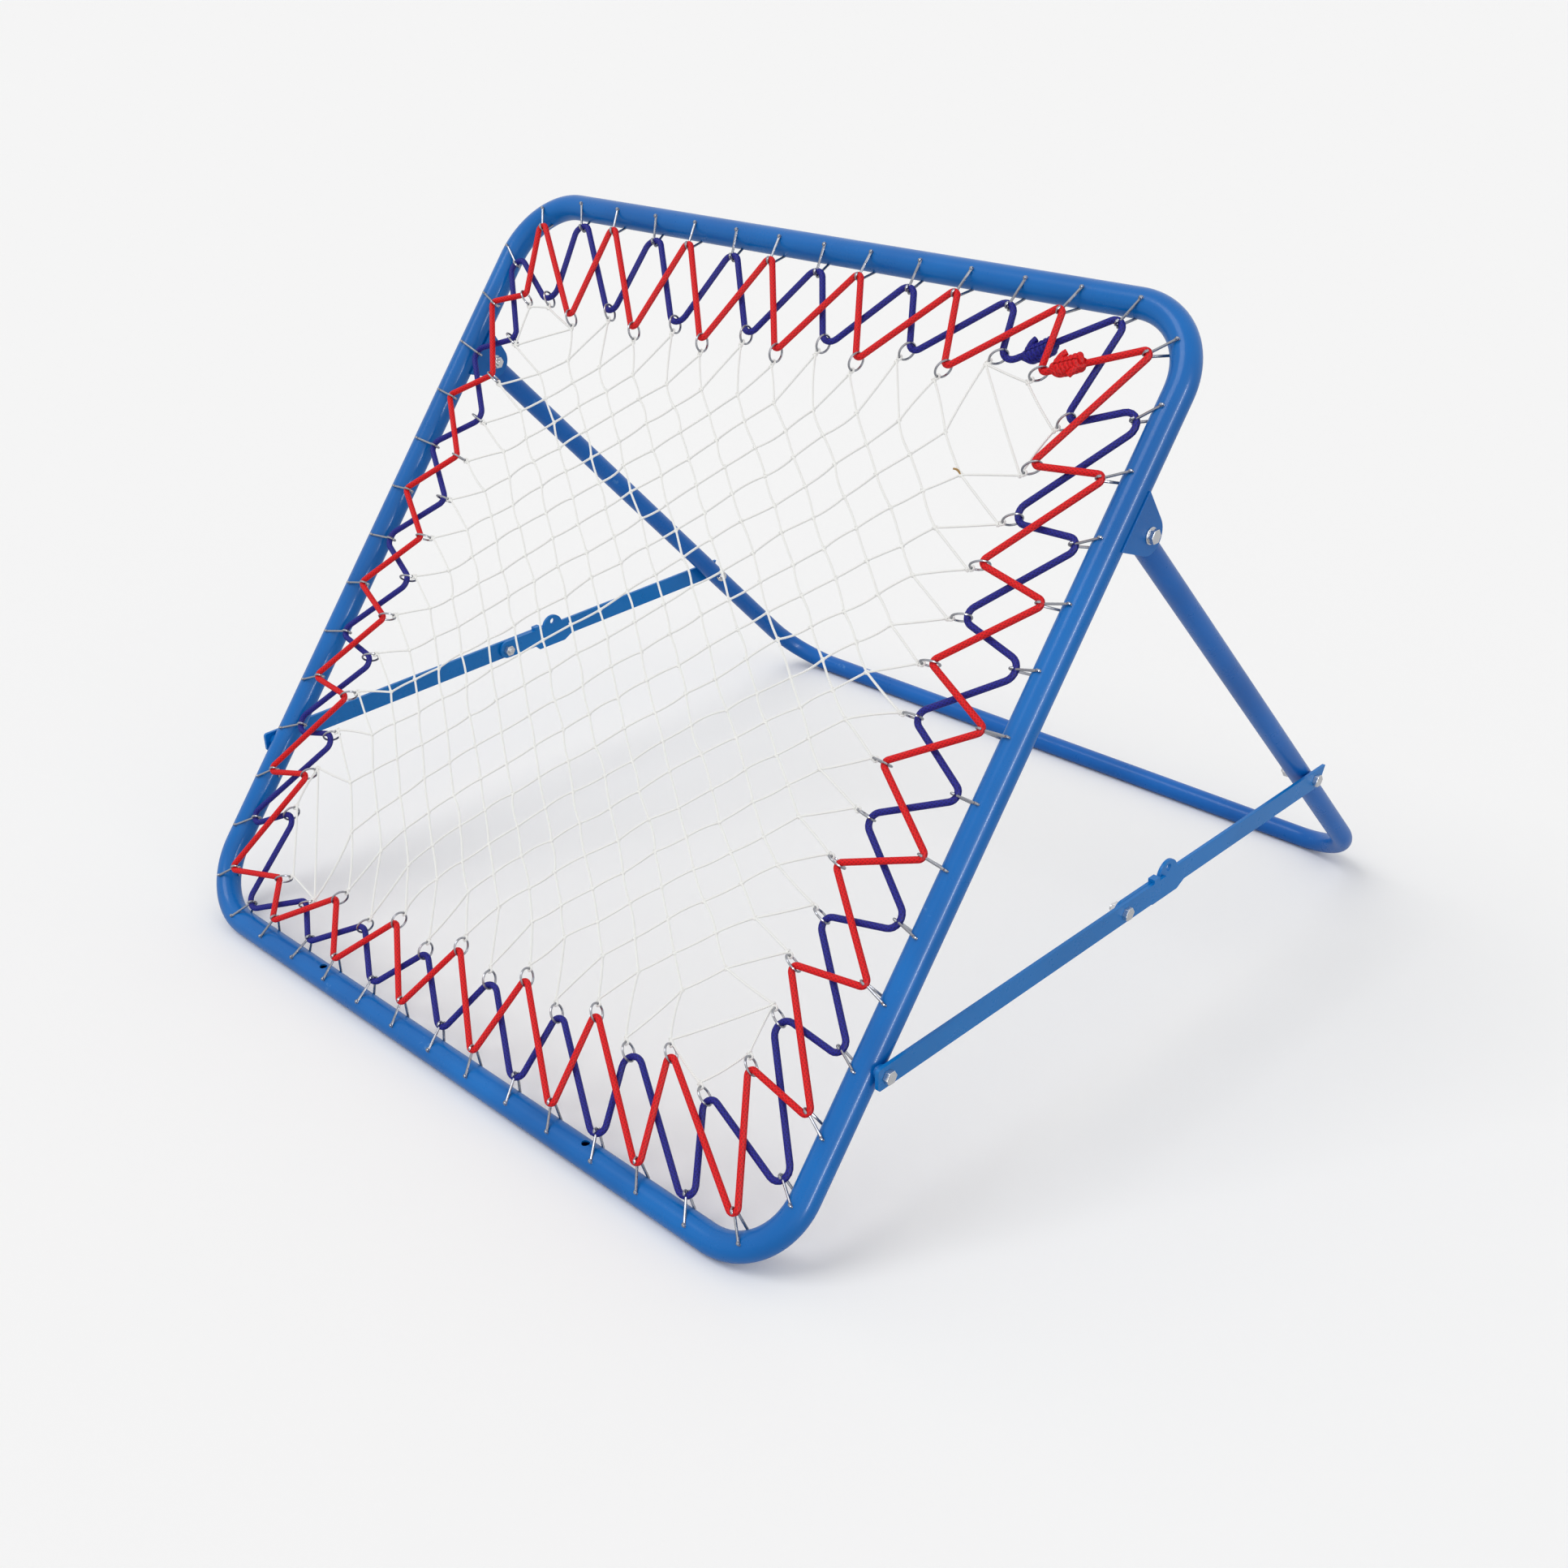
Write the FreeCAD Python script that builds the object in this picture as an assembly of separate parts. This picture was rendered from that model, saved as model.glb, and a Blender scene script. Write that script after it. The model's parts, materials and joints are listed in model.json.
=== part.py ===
"""Tchoukball rebound frame: a square tube ring that carries an elastic net, held at a tilt by a
folding rear leg and two pairs of flat stays.

Two frames of reference are used, both in millimetres.
  Ring frame: u to the right, v up the net, w towards the thrower, origin at the ring's centre.
  Row frame:  x to the right, y towards the rear leg, z up from the floor.
"""
import FreeCAD
import Part

import math
import os

V = FreeCAD.Vector
X_AXIS = V(1, 0, 0)
Z_AXIS = V(0, 0, 1)

# Driving dimensions of the ring
RING_SIZE = 1000.0            # outside width and height of the tube ring
RING_TUBE_D = 30.0
RING_TUBE_WALL = 2.0
RING_CORNER_R = 80.0          # bend radius of the tube's centre line
BEND_STRETCHES = 6            # straight stretches that make up each quarter bend
TILT = 52.0                   # angle of the net to the floor, degrees
PEG_HOLE_D = 9.0              # upright holes through the bottom tube, for ground pegs
PEG_HOLE_U = 232.0

# Rear leg and its hinge
LEG_TUBE_D = 25.0
LEG_TUBE_WALL = 2.0
LEG_LENGTH = 820.0            # hinge axis to the axis of the foot tube
LEG_BEND_R = 80.0
HINGE_UP = 765.0              # from the bottom tube's axis, along the side tube
HINGE_BACK = 32.0             # hinge axis behind the side tube's axis
EAR_THICK = 4.0
EAR_R = 20.0
EAR_BASE = 62.0               # length of the ear's foot along the side tube
EAR_ROOT = 6.0                # the inboard ear starts this far back, behind the hooks' ends
EAR_GAP = 0.5                 # side clearance between the leg tube and each ear

# Folding stays
BAR_W = 24.0
BAR_T = 4.0
BAR_CORNER_R = 4.0
STAY_UP = 214.0               # front pivot, from the bottom tube's axis along the side tube
STAY_ON_LEG = 562.0           # rear pivot, from the hinge along the leg
FRONT_BAR = 373.0             # front pivot to knee
FRONT_NOSE = 13.0             # front bar ahead of its pivot
FRONT_TAIL = 75.0             # front bar past the knee
REAR_END = 9.0                # rear bar past its pivot on the leg, at its lower edge
REAR_CORNER = 20.0            # and at its upper edge
BAR_GAP = 0.3                 # between the two bars of a stay
BUSH_D = 16.0
BUSH_GAP = 0.1                # between a bush and the bar that turns on it
REAR_BUSH = 3.0               # length of the bush on the leg
FOLD_CLEAR = 11.0             # between a knee nut and the side tube when folded
HEAD_FROM = 50.0              # deeper head of the rear bar, measured from the knee
HEAD_TO = 102.0
HEAD_DROP = 6.5
HEAD_CHAMFER = 13.0
EAR_TAB_AT = 82.0             # finger tab on top of the head
EAR_TAB_R = 17.0
EAR_TAB_RISE = 8.0            # its centre above the bar's middle line
EAR_TAB_HOLE = 8.0
STOP_FROM = 50.0              # stop tab of the front bar, which rests on the rear bar
STOP_LENGTH = 10.0
STOP_GAP = 0.15

# Fasteners
BOLT_D = 8.0
HEX_AF = 13.0
HEAD_H = 5.3
NUT_H = 6.5
WASHER_D = 17.0
WASHER_T = 1.6
THREAD_PAST_NUT = 3.0
PIVOT_CLEAR = 0.05            # radial, where a bar or the leg turns on a bolt
FACE_CLEAR = 0.1              # endways, between a turning bar and the washer beside it

# Hooks, rings, elastics and net
STATIONS = 56                 # hooks round the ring, and as many rings round the net
FIRST_HOOK = 14.0             # first hook, clockwise from the middle of the top tube
HOOK_WIRE = 2.8
HOOK_REACH = 29.0             # seat of the elastic, inwards from the tube's axis
HOOK_STAND = 3.5              # front end of the hook stands this far off the tube
HOOK_SQUARE = 0.3             # how much a hook keeps square to its tube against the pull
HOOK_REAR_ANGLE = 12.0        # rear end, from the tube's innermost line towards the back
HOOK_SUNK = 2.0               # both ends are made this much too long and trimmed by the tube
ELASTIC_D = 7.0
ELASTIC_SIDES = 6
SEAT_CLEAR = 0.4
NET_W = 13.0                  # net plane in front of the tube's axis
COLOUR_STEP = 4.5             # red lies this far in front of the net plane, blue as far behind
RING_OD = 22.0
RING_WIRE = 2.4
RING_STEP = 2.0               # rings follow their elastic this far out of the net plane
# First and last ring of the net's top, right, bottom and left, clockwise
NET_SIDES = (((-370.0, 351.0), (343.0, 401.0)), ((390.0, 353.0), (382.0, -323.0)),
             ((341.0, -361.0), (-355.0, -421.0)), ((-400.0, -339.0), (-406.0, 354.0)))
NET_BOW = 14.0                # each side of the net bows in by this much at its middle
COLOUR_PULL = (9.0, 3.0, 10.0, 0.0)   # rings on blue out, on red in, for the same four sides
NET_CORD = 2.2
NET_THICK = 1.6
EDGE_PULL = 0.55              # pull of the net's edge legs against its inner legs
KNOT_D = 20.0
KNOT_END_D = 14.0
KNOT_LENGTH = 34.0
KNOT_FROM_RING = 7.0
KNOT_SHIFT = 3.0              # a knot bulges this far away from the other elastic
BLUE_KNOT_STATION = 5
RED_KNOT_STATION = 6

# Worked out from the values above
RING_R = RING_TUBE_D / 2.0
LEG_R = LEG_TUBE_D / 2.0
HALF = RING_SIZE / 2.0 - RING_R
STRAIGHT = 2.0 * (HALF - RING_CORNER_R)
QUARTER = math.pi / 2.0 * RING_CORNER_R
PERIMETER = 4.0 * (STRAIGHT + QUARTER)
TILT_RAD = math.radians(TILT)
SIDE = STATIONS // 4
BOLT_R = BOLT_D / 2.0
ELASTIC_R = ELASTIC_D / 2.0
RING_MID_R = (RING_OD - RING_WIRE) / 2.0
HOOK_TURN = HOOK_WIRE / 2.0 + ELASTIC_R + SEAT_CLEAR
RING_TURN = RING_WIRE / 2.0 + ELASTIC_R + SEAT_CLEAR
NET_SEAT = RING_WIRE / 2.0 + NET_CORD / 2.0 + SEAT_CLEAR


def row_yz(v, w):
    """Row y and z of a ring-frame point, before the part is centred."""
    rise = v + HALF
    y = math.cos(TILT_RAD) * rise - math.sin(TILT_RAD) * w
    z = math.sin(TILT_RAD) * rise + math.cos(TILT_RAD) * w + RING_R
    return y, z


HINGE_Y, HINGE_Z = row_yz(HINGE_UP - HALF, -HINGE_BACK)
LEG_SLOPE = math.asin((HINGE_Z - LEG_R) / LEG_LENGTH)
STAY_Y, STAY_Z = row_yz(STAY_UP - HALF, 0.0)
REAR_Y = HINGE_Y + STAY_ON_LEG * math.cos(LEG_SLOPE)
REAR_Z = HINGE_Z - STAY_ON_LEG * math.sin(LEG_SLOPE)
STAY_SPAN = math.hypot(REAR_Y - STAY_Y, REAR_Z - STAY_Z)
STAY_SLOPE = math.atan2(REAR_Z - STAY_Z, REAR_Y - STAY_Y)
REAR_BAR = STAY_SPAN - FRONT_BAR
KNEE_Y = STAY_Y + FRONT_BAR * math.cos(STAY_SLOPE)
KNEE_Z = STAY_Z + FRONT_BAR * math.sin(STAY_SLOPE)
# The rear bar lies against its bush on the leg, the front bar outside it
REAR_BAR_X = HALF + LEG_R + REAR_BUSH + BUSH_GAP
FRONT_BAR_X = REAR_BAR_X + BAR_T + BAR_GAP
# Rest depth of the whole part, for an origin under its middle
FRONT_MOST = -RING_R
REAR_MOST = HINGE_Y + LEG_LENGTH * math.cos(LEG_SLOPE) + LEG_R
CENTRE_Y = (FRONT_MOST + REAR_MOST) / 2.0


def to_row(shape):
    """Tilt a shape made in the ring frame and stand it on the floor."""
    shape = shape.copy()
    shape.rotate(V(0, 0, 0), X_AXIS, TILT)
    y, z = row_yz(0.0, 0.0)
    shape.translate(V(0, y - CENTRE_Y, z))
    return shape


def place(shape, y, z, angle=0.0):
    """Turn a shape about x and move it to a row y and z."""
    shape = shape.copy()
    shape.rotate(V(0, 0, 0), X_AXIS, math.degrees(angle))
    shape.translate(V(0, y - CENTRE_Y, z))
    return shape


def mirrored(shape):
    return shape.mirror(V(0, 0, 0), X_AXIS)


def both_sides(shape):
    return [shape, mirrored(shape)]


def fused(shapes):
    body = shapes[0]
    for other in shapes[1:]:
        body = body.fuse(other)
    return body.removeSplitter()


# Bent tubes

def quarter_bend(bend_r, radius):
    """Quarter of a bend about z, from +y round to +x, in short ruled stretches."""
    sections = []
    for step in range(BEND_STRETCHES + 1):
        angle = math.pi / 2.0 * (1.0 - step / BEND_STRETCHES)
        outward = V(math.cos(angle), math.sin(angle), 0)
        section = Part.makeCircle(radius, outward * bend_r, V(outward.y, -outward.x, 0))
        sections.append(Part.Wire([section]))
    return Part.makeLoft(sections, True, True)


def ring_body(radius):
    """Solid rod along the ring's centre line: four straight runs and four quarter bends."""
    pieces = []
    run = HALF - RING_CORNER_R
    for turn in range(4):
        straight = Part.makeCylinder(radius, STRAIGHT, V(-run, HALF, 0), X_AXIS)
        bend = quarter_bend(RING_CORNER_R, radius)
        bend.translate(V(run, run, 0))
        for piece in (straight, bend):
            piece.rotate(V(0, 0, 0), Z_AXIS, -90.0 * turn)
            pieces.append(piece)
    return fused(pieces)


def ring_tube():
    tube = to_row(ring_body(RING_R).cut(ring_body(RING_R - RING_TUBE_WALL)))
    holes = []
    for side in (-1, 1):
        foot = V(side * PEG_HOLE_U, -CENTRE_Y, -RING_R)
        holes.append(Part.makeCylinder(PEG_HOLE_D / 2.0, 4.0 * RING_R, foot, Z_AXIS))
        bore = Part.makeCylinder(BOLT_R, RING_TUBE_D, V(side * HALF, 0, 0), X_AXIS * side)
        holes.append(place(bore, STAY_Y, STAY_Z))
    return tube.cut(Part.makeCompound(holes))


def leg_body(radius, above):
    """Solid rod along the U of the leg: local y runs down the leg from the hinge."""
    run = LEG_LENGTH - LEG_BEND_R
    inner = HALF - LEG_BEND_R
    pieces = []
    for side in (1, -1):
        pieces.append(Part.makeCylinder(radius, run + above, V(side * HALF, -above, 0), V(0, 1, 0)))
        bend = quarter_bend(LEG_BEND_R, radius)
        if side < 0:
            bend = mirrored(bend)
        bend.translate(V(side * inner, run, 0))
        pieces.append(bend)
    pieces.append(Part.makeCylinder(radius, 2.0 * inner, V(-inner, LEG_LENGTH, 0), X_AXIS))
    return fused(pieces)


def leg_tube():
    """U-shaped rear leg, its two ends rounded about the hinge axis so that they clear the ring."""
    end_r = HINGE_BACK - RING_R - 1.5
    body = leg_body(LEG_R, end_r).cut(leg_body(LEG_R - LEG_TUBE_WALL, 2.0 * end_r))
    corner = Part.makeBox(2.0 * RING_SIZE, 2.0 * LEG_R, 4.0 * LEG_R,
                          V(-RING_SIZE, -2.0 * LEG_R, -2.0 * LEG_R))
    nose = Part.makeCylinder(end_r, 2.0 * RING_SIZE, V(-RING_SIZE, 0, 0), X_AXIS)
    body = body.cut(corner.cut(nose))
    hinge_r = BOLT_R + PIVOT_CLEAR
    for side in (-1, 1):
        for along, radius in ((0.0, hinge_r), (STAY_ON_LEG, BOLT_R)):
            start = V(side * HALF - LEG_TUBE_D, along, 0)
            body = body.cut(Part.makeCylinder(radius, 2.0 * LEG_TUBE_D, start, X_AXIS))
    return place(body, HINGE_Y, HINGE_Z, -LEG_SLOPE)


def hinge_ears():
    """Two rounded plates welded to the back of each side tube, one each side of the leg."""
    at = V(0, HINGE_UP - HALF, -HINGE_BACK)
    half_base = EAR_BASE / 2.0
    ears = []
    tube = Part.makeCylinder(RING_R, STRAIGHT, V(HALF, -STRAIGHT / 2.0, 0), V(0, 1, 0))
    inboard = HALF - LEG_R - EAR_GAP - EAR_THICK
    outboard = HALF + LEG_R + EAR_GAP
    for inner_face, root in ((inboard, EAR_ROOT), (outboard, 0.0)):
        foot = V(0, at.y, -root)
        outline = [foot + V(0, -half_base, 0), foot + V(0, half_base, 0),
                   at + tangent_point(half_base, 1), at + tangent_point(half_base, -1)]
        web = Part.Face(Part.makePolygon(outline + outline[:1])).extrude(V(EAR_THICK, 0, 0))
        disc = Part.makeCylinder(EAR_R, EAR_THICK, at, X_AXIS)
        bore = Part.makeCylinder(BOLT_R, EAR_THICK, at, X_AXIS)
        ear = fused([web, disc]).cut(bore)
        ear.translate(V(inner_face, 0, 0))
        ears.append(ear.cut(tube))
    return [to_row(side) for ear in ears for side in both_sides(ear)]


def tangent_point(half_base, way):
    """Where a line from the ear's foot touches its round end, seen from the hinge axis."""
    reach = math.hypot(half_base, HINGE_BACK)
    angle = math.atan2(HINGE_BACK, half_base) - math.acos(EAR_R / reach)
    return V(0, way * EAR_R * math.cos(angle), EAR_R * math.sin(angle))


# Fasteners, made along +x with the bearing face at x = 0

def hex_prism(height):
    corner = HEX_AF / 2.0 / math.cos(math.pi / 6.0)
    points = [V(0, corner * math.cos(math.pi / 3.0 * i), corner * math.sin(math.pi / 3.0 * i))
              for i in range(7)]
    return Part.Face(Part.makePolygon(points)).extrude(V(height, 0, 0))


def bolt(length):
    """Hex head outboard, plain shank running inwards from its bearing face."""
    return fused([hex_prism(HEAD_H), Part.makeCylinder(BOLT_R, length, V(-length, 0, 0), X_AXIS)])


def nut():
    return hex_prism(NUT_H).cut(Part.makeCylinder(BOLT_R, NUT_H, V(0, 0, 0), X_AXIS))


def washer():
    return disc_with_bore(WASHER_D, WASHER_T)


def disc_with_bore(diameter, length):
    disc = Part.makeCylinder(diameter / 2.0, length, V(0, 0, 0), X_AXIS)
    return disc.cut(Part.makeCylinder(BOLT_R, length, V(0, 0, 0), X_AXIS))


def at_x(shape, x):
    shape = shape.copy()
    shape.translate(V(x, 0, 0))
    return shape


def through_bolt(outer, inner, y, z):
    """Bolt and nut that clamp from outer to inner along x, on both sides."""
    shapes = (at_x(bolt(outer - inner + NUT_H + THREAD_PAST_NUT), outer), at_x(nut(), inner - NUT_H))
    return [both_sides(place(shape, y, z)) for shape in shapes]


def hinge_washers(outer, inner):
    washers = [at_x(washer(), outer), at_x(washer(), inner - WASHER_T)]
    return [side for shape in washers for side in both_sides(place(shape, HINGE_Y, HINGE_Z))]


# Folding stays: local y runs along the bar from its pivot, x is its thickness

def flat(outline, thickness=BAR_T):
    points = [V(0, y, z) for y, z in outline]
    return Part.Face(Part.makePolygon(points + points[:1])).extrude(V(thickness, 0, 0))


def bar_disc(y, radius, z=0.0):
    return Part.makeCylinder(radius, BAR_T, V(0, y, z), X_AXIS)


def front_bar():
    """Flat bar with a squared nose; its tail has a stop tab folded over the rear bar."""
    half = BAR_W / 2.0
    length = FRONT_NOSE + FRONT_BAR + FRONT_TAIL
    blank = Part.makeBox(BAR_T, length, BAR_W, V(0, -FRONT_NOSE, -half))
    corners = [edge for edge in blank.Edges if is_end_corner(edge)]
    bar = blank.makeFillet(BAR_CORNER_R, corners)
    reach = FRONT_BAR_X - REAR_BAR_X
    under = half + STOP_GAP
    start = FRONT_BAR + STOP_FROM
    over = Part.makeBox(reach + BAR_T, STOP_LENGTH, BAR_T, V(-reach, start, under))
    root = Part.makeBox(BAR_T, STOP_LENGTH, BAR_T, V(0, start, half - BAR_T / 2.0))
    bar = fused([bar, over, root])
    bar = bar.cut(bar_disc(0.0, BOLT_R + PIVOT_CLEAR)).cut(bar_disc(FRONT_BAR, BOLT_R))
    return place(at_x(bar, FRONT_BAR_X), STAY_Y, STAY_Z, STAY_SLOPE)


def is_end_corner(edge):
    """True for the four short edges across a bar's thickness."""
    first, last = edge.Vertexes[0].Point, edge.Vertexes[1].Point
    return abs((last - first).x) > BAR_T / 2.0


def rear_bar():
    """Round tongue behind the front bar, a deeper head with a finger tab, then a plain bar."""
    half = BAR_W / 2.0
    low = -half - HEAD_DROP
    body = flat([(0, -half), (HEAD_FROM, -half), (HEAD_FROM + HEAD_DROP, low), (HEAD_TO, low),
                 (HEAD_TO + HEAD_CHAMFER, -half), (REAR_BAR + REAR_END, -half),
                 (REAR_BAR + REAR_CORNER, half), (0, half)])
    tab = bar_disc(EAR_TAB_AT, EAR_TAB_R, EAR_TAB_RISE)
    bar = fused([body, bar_disc(0.0, half), tab])
    turning = BOLT_R + PIVOT_CLEAR
    bar = bar.cut(bar_disc(0.0, turning)).cut(bar_disc(REAR_BAR, BOLT_R))
    bar = bar.cut(bar_disc(EAR_TAB_AT, EAR_TAB_HOLE / 2.0, EAR_TAB_RISE + EAR_TAB_R / 2.0))
    return place(at_x(bar, REAR_BAR_X), KNEE_Y, KNEE_Z, STAY_SLOPE)


def knee_fasteners():
    """Bolt and nut of a knee, both of which turn with the front bar."""
    outer = FRONT_BAR_X + BAR_T
    inner = REAR_BAR_X - FACE_CLEAR
    shapes = {
        "knee_bolt": at_x(bolt(outer - inner + NUT_H + THREAD_PAST_NUT), outer),
        "knee_nut": at_x(nut(), inner - NUT_H),
    }
    return {name: place(shape, KNEE_Y, KNEE_Z, STAY_SLOPE) for name, shape in shapes.items()}


def rear_pivot_head():
    """Outboard half of the rear pivot, which turns with the rear bar: head and short shank."""
    return place(at_x(bolt(BAR_T), REAR_BAR_X + BAR_T), REAR_Y, REAR_Z)


def rear_pivot_leg_half():
    """Inboard half of the rear pivot, fixed in the leg: shank and nut, on both sides."""
    outer = REAR_BAR_X - BUSH_GAP
    inner = HALF - LEG_R
    length = outer - inner + NUT_H + THREAD_PAST_NUT
    shank = Part.makeCylinder(BOLT_R, length, V(outer - length, 0, 0), X_AXIS)
    shapes = {"rear_pivot_studs": shank, "rear_pivot_nuts": at_x(nut(), inner - NUT_H)}
    return {name: both_sides(place(shape, REAR_Y, REAR_Z)) for name, shape in shapes.items()}


def stay_bush(inner, outer):
    return at_x(disc_with_bore(BUSH_D, outer - inner), inner)


def front_bushes():
    """Short bush welded on the outside of each side tube, which the front bar turns against."""
    bush = place(stay_bush(HALF + RING_R - 3.0, FRONT_BAR_X - BUSH_GAP), STAY_Y, STAY_Z)
    tube = Part.makeCylinder(RING_R, STRAIGHT, V(HALF, -STRAIGHT / 2.0, 0), V(0, 1, 0))
    return both_sides(bush.cut(to_row(tube)))


def rear_bushes():
    bush = place(stay_bush(HALF + LEG_R - 3.0, REAR_BAR_X - BUSH_GAP), REAR_Y, REAR_Z)
    tube = Part.makeCylinder(LEG_R, LEG_LENGTH, V(HALF, 0, 0), V(0, 1, 0))
    return both_sides(bush.cut(place(tube, HINGE_Y, HINGE_Z, -LEG_SLOPE)))


# Faceted wire and cord: a polygon section carried along a flat path with mitred corners

def faceted_tube(path, normal, radius, sides, closed=False):
    """Solid of a polygon section along points that lie in one plane with this normal."""
    count = len(path)
    sections = []
    for i in range(count):
        before = path[i - 1] if closed or i > 0 else None
        after = path[(i + 1) % count] if closed or i < count - 1 else None
        sections.append(mitred_section(before, path[i], after, normal, radius, sides))
    faces = []
    runs = count if closed else count - 1
    for i in range(runs):
        near = sections[i]
        far = sections[(i + 1) % count]
        for j in range(sides):
            k = (j + 1) % sides
            faces.append(polygon_face([near[j], near[k], far[k], far[j]]))
    if not closed:
        faces.append(polygon_face(sections[0]))
        faces.append(polygon_face(sections[-1]))
    return sewn_solid(faces)


def mitred_section(before, point, after, normal, radius, sides):
    into = (point - before).normalize() if before is not None else None
    out = (after - point).normalize() if after is not None else None
    into = into or out
    out = out or into
    mean = (into + out).normalize()
    across = normal.cross(mean).normalize()
    stretch = 1.0 / max(into.dot(mean), 0.2)
    section = []
    for j in range(sides):
        angle = 2.0 * math.pi * (j + 0.5) / sides
        section.append(point + across * (radius * math.cos(angle) * stretch)
                       + normal * (radius * math.sin(angle)))
    return section


def polygon_face(points):
    return Part.Face(Part.makePolygon(list(points) + [points[0]]))


def sewn_solid(faces):
    shell = Part.makeShell(faces)
    shell.sewShape()
    solid = Part.makeSolid(shell)
    if solid.Volume < 0:
        solid.reverse()
    return solid


# Stations round the ring

def ring_point(distance):
    """Point of the tube's centre line and its outward normal, clockwise from the top's middle."""
    side_length = STRAIGHT + QUARTER
    distance = (distance + STRAIGHT / 2.0) % PERIMETER
    turns = int(distance // side_length)
    along = distance - turns * side_length
    run = HALF - RING_CORNER_R
    if along <= STRAIGHT:
        point, outward = V(-run + along, HALF, 0), V(0, 1, 0)
    else:
        angle = math.pi / 2.0 - (along - STRAIGHT) / RING_CORNER_R
        outward = V(math.cos(angle), math.sin(angle), 0)
        point = V(run, run, 0) + outward * RING_CORNER_R
    turn = FreeCAD.Rotation(Z_AXIS, -90.0 * turns)
    return turn.multVec(point), turn.multVec(outward)


def hook_station(k):
    return ring_point(FIRST_HOOK + k * PERIMETER / STATIONS)


def is_red_hook(k):
    return k % 2 == 1


def plane_of(red):
    return NET_W + (COLOUR_STEP if red else -COLOUR_STEP)


def net_side_point(k):
    """Centre of ring k in the net's plane: rings are even along each bowed side of the net."""
    start = (k - SIDE // 2) % STATIONS
    side = (start // SIDE + 1) % 4
    share = (start % SIDE) / (SIDE - 1.0)
    first, last = [V(*end, 0) for end in NET_SIDES[side]]
    point = first + (last - first) * share
    along = (last - first).normalize()
    outward = V(-along.y, along.x, 0)
    bow = NET_BOW * (1.0 - (2.0 * share - 1.0) ** 2)
    pull = COLOUR_PULL[side] if is_red_hook(k) else -COLOUR_PULL[side]
    return point + outward * (pull - bow)


def hook_pull(k):
    """Unit vector along which hook k leans: mostly midway between its elastic's two runs."""
    point, outward = hook_station(k)
    seat = point - outward * HOOK_REACH
    before, after = [(net_side_point((k + step) % STATIONS) - seat).normalize()
                     for step in (-1, 1)]
    return ((before + after).normalize() - outward * HOOK_SQUARE).normalize()


def hook_wire_centre(k):
    """Where the wire of hook k crosses the plane of its elastic, seen from the front."""
    point, _ = hook_station(k)
    return point + hook_pull(k) * (HOOK_REACH + HOOK_TURN)


def ring_pull(k):
    """Unit vector from ring k towards the middle of its elastic's two hooks."""
    middle = (hook_wire_centre((k - 1) % STATIONS) + hook_wire_centre((k + 1) % STATIONS)) * 0.5
    return (middle - net_side_point(k)).normalize()


def ring_wire_centre(k):
    """Where the wire of ring k crosses the plane of its elastic."""
    return net_side_point(k) + ring_pull(k) * RING_MID_R


def hook(k):
    """Staple of round wire: out of the tube's front, round the elastic, back to its inner side."""
    point, outward = hook_station(k)
    pull = hook_pull(k)
    plane = plane_of(is_red_hook(k))
    bend_r = HOOK_TURN
    inward = HOOK_REACH
    sunk_r = RING_R - HOOK_SUNK
    path = [(0.0, sunk_r), (0.0, RING_R + HOOK_STAND)]
    for step in range(4):
        angle = math.radians(75.0 - 50.0 * step)
        path.append((inward + bend_r * math.cos(angle), plane + bend_r * math.sin(angle)))
    rear = math.radians(HOOK_REAR_ANGLE)
    path.append((sunk_r * math.cos(rear) / -pull.dot(outward), -sunk_r * math.sin(rear)))
    points = [point + pull * r + V(0, 0, w) for r, w in path]
    side = Z_AXIS.cross(pull)
    wire = faceted_tube(points, side, HOOK_WIRE / 2.0, 4)
    return to_row(wire)


def hooks(stations):
    """Hooks of one side, both ends trimmed to the surface of the tube that they are welded to."""
    rod = to_row(ring_body(RING_R))
    return [hook(k).cut(rod).Solids[0] for k in stations]


def net_ring(k):
    """Steel ring that links the net's edge to the elastic, standing across the net's edge."""
    centre = net_side_point(k)
    red = not is_red_hook(k)
    centre.z = NET_W + (RING_STEP if red else -RING_STEP)
    pull = ring_pull(k)
    sides = 8
    corner_r = RING_MID_R / math.cos(math.pi / sides)
    points = []
    for i in range(sides):
        angle = 2.0 * math.pi * (i + 0.5) / sides
        points.append(centre + pull * (corner_r * math.cos(angle))
                      + Z_AXIS * (corner_r * math.sin(angle)))
    return to_row(faceted_tube(points, pull.cross(Z_AXIS), RING_WIRE / 2.0, 4, closed=True))


def net_rings(stations):
    return [net_ring(k) for k in stations]


# Elastics

def elastic_turns(red):
    """Turning circles along an elastic: centre, radius and side (-1 turns right, 1 left)."""
    turns = []
    for k in range(STATIONS):
        if is_red_hook(k) == red:
            turns.append((hook_wire_centre(k), HOOK_TURN, -1.0))
        else:
            turns.append((ring_wire_centre(k), RING_TURN, 1.0))
    return turns


def run_heading(near, far):
    """Heading of the straight run that leaves one turning circle and meets the next."""
    span = far[0] - near[0]
    offset = far[2] * far[1] - near[2] * near[1]
    return math.atan2(span.y, span.x) - math.asin(offset / math.hypot(span.x, span.y))


def heading_left(heading):
    return V(-math.sin(heading), math.cos(heading), 0)


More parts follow.
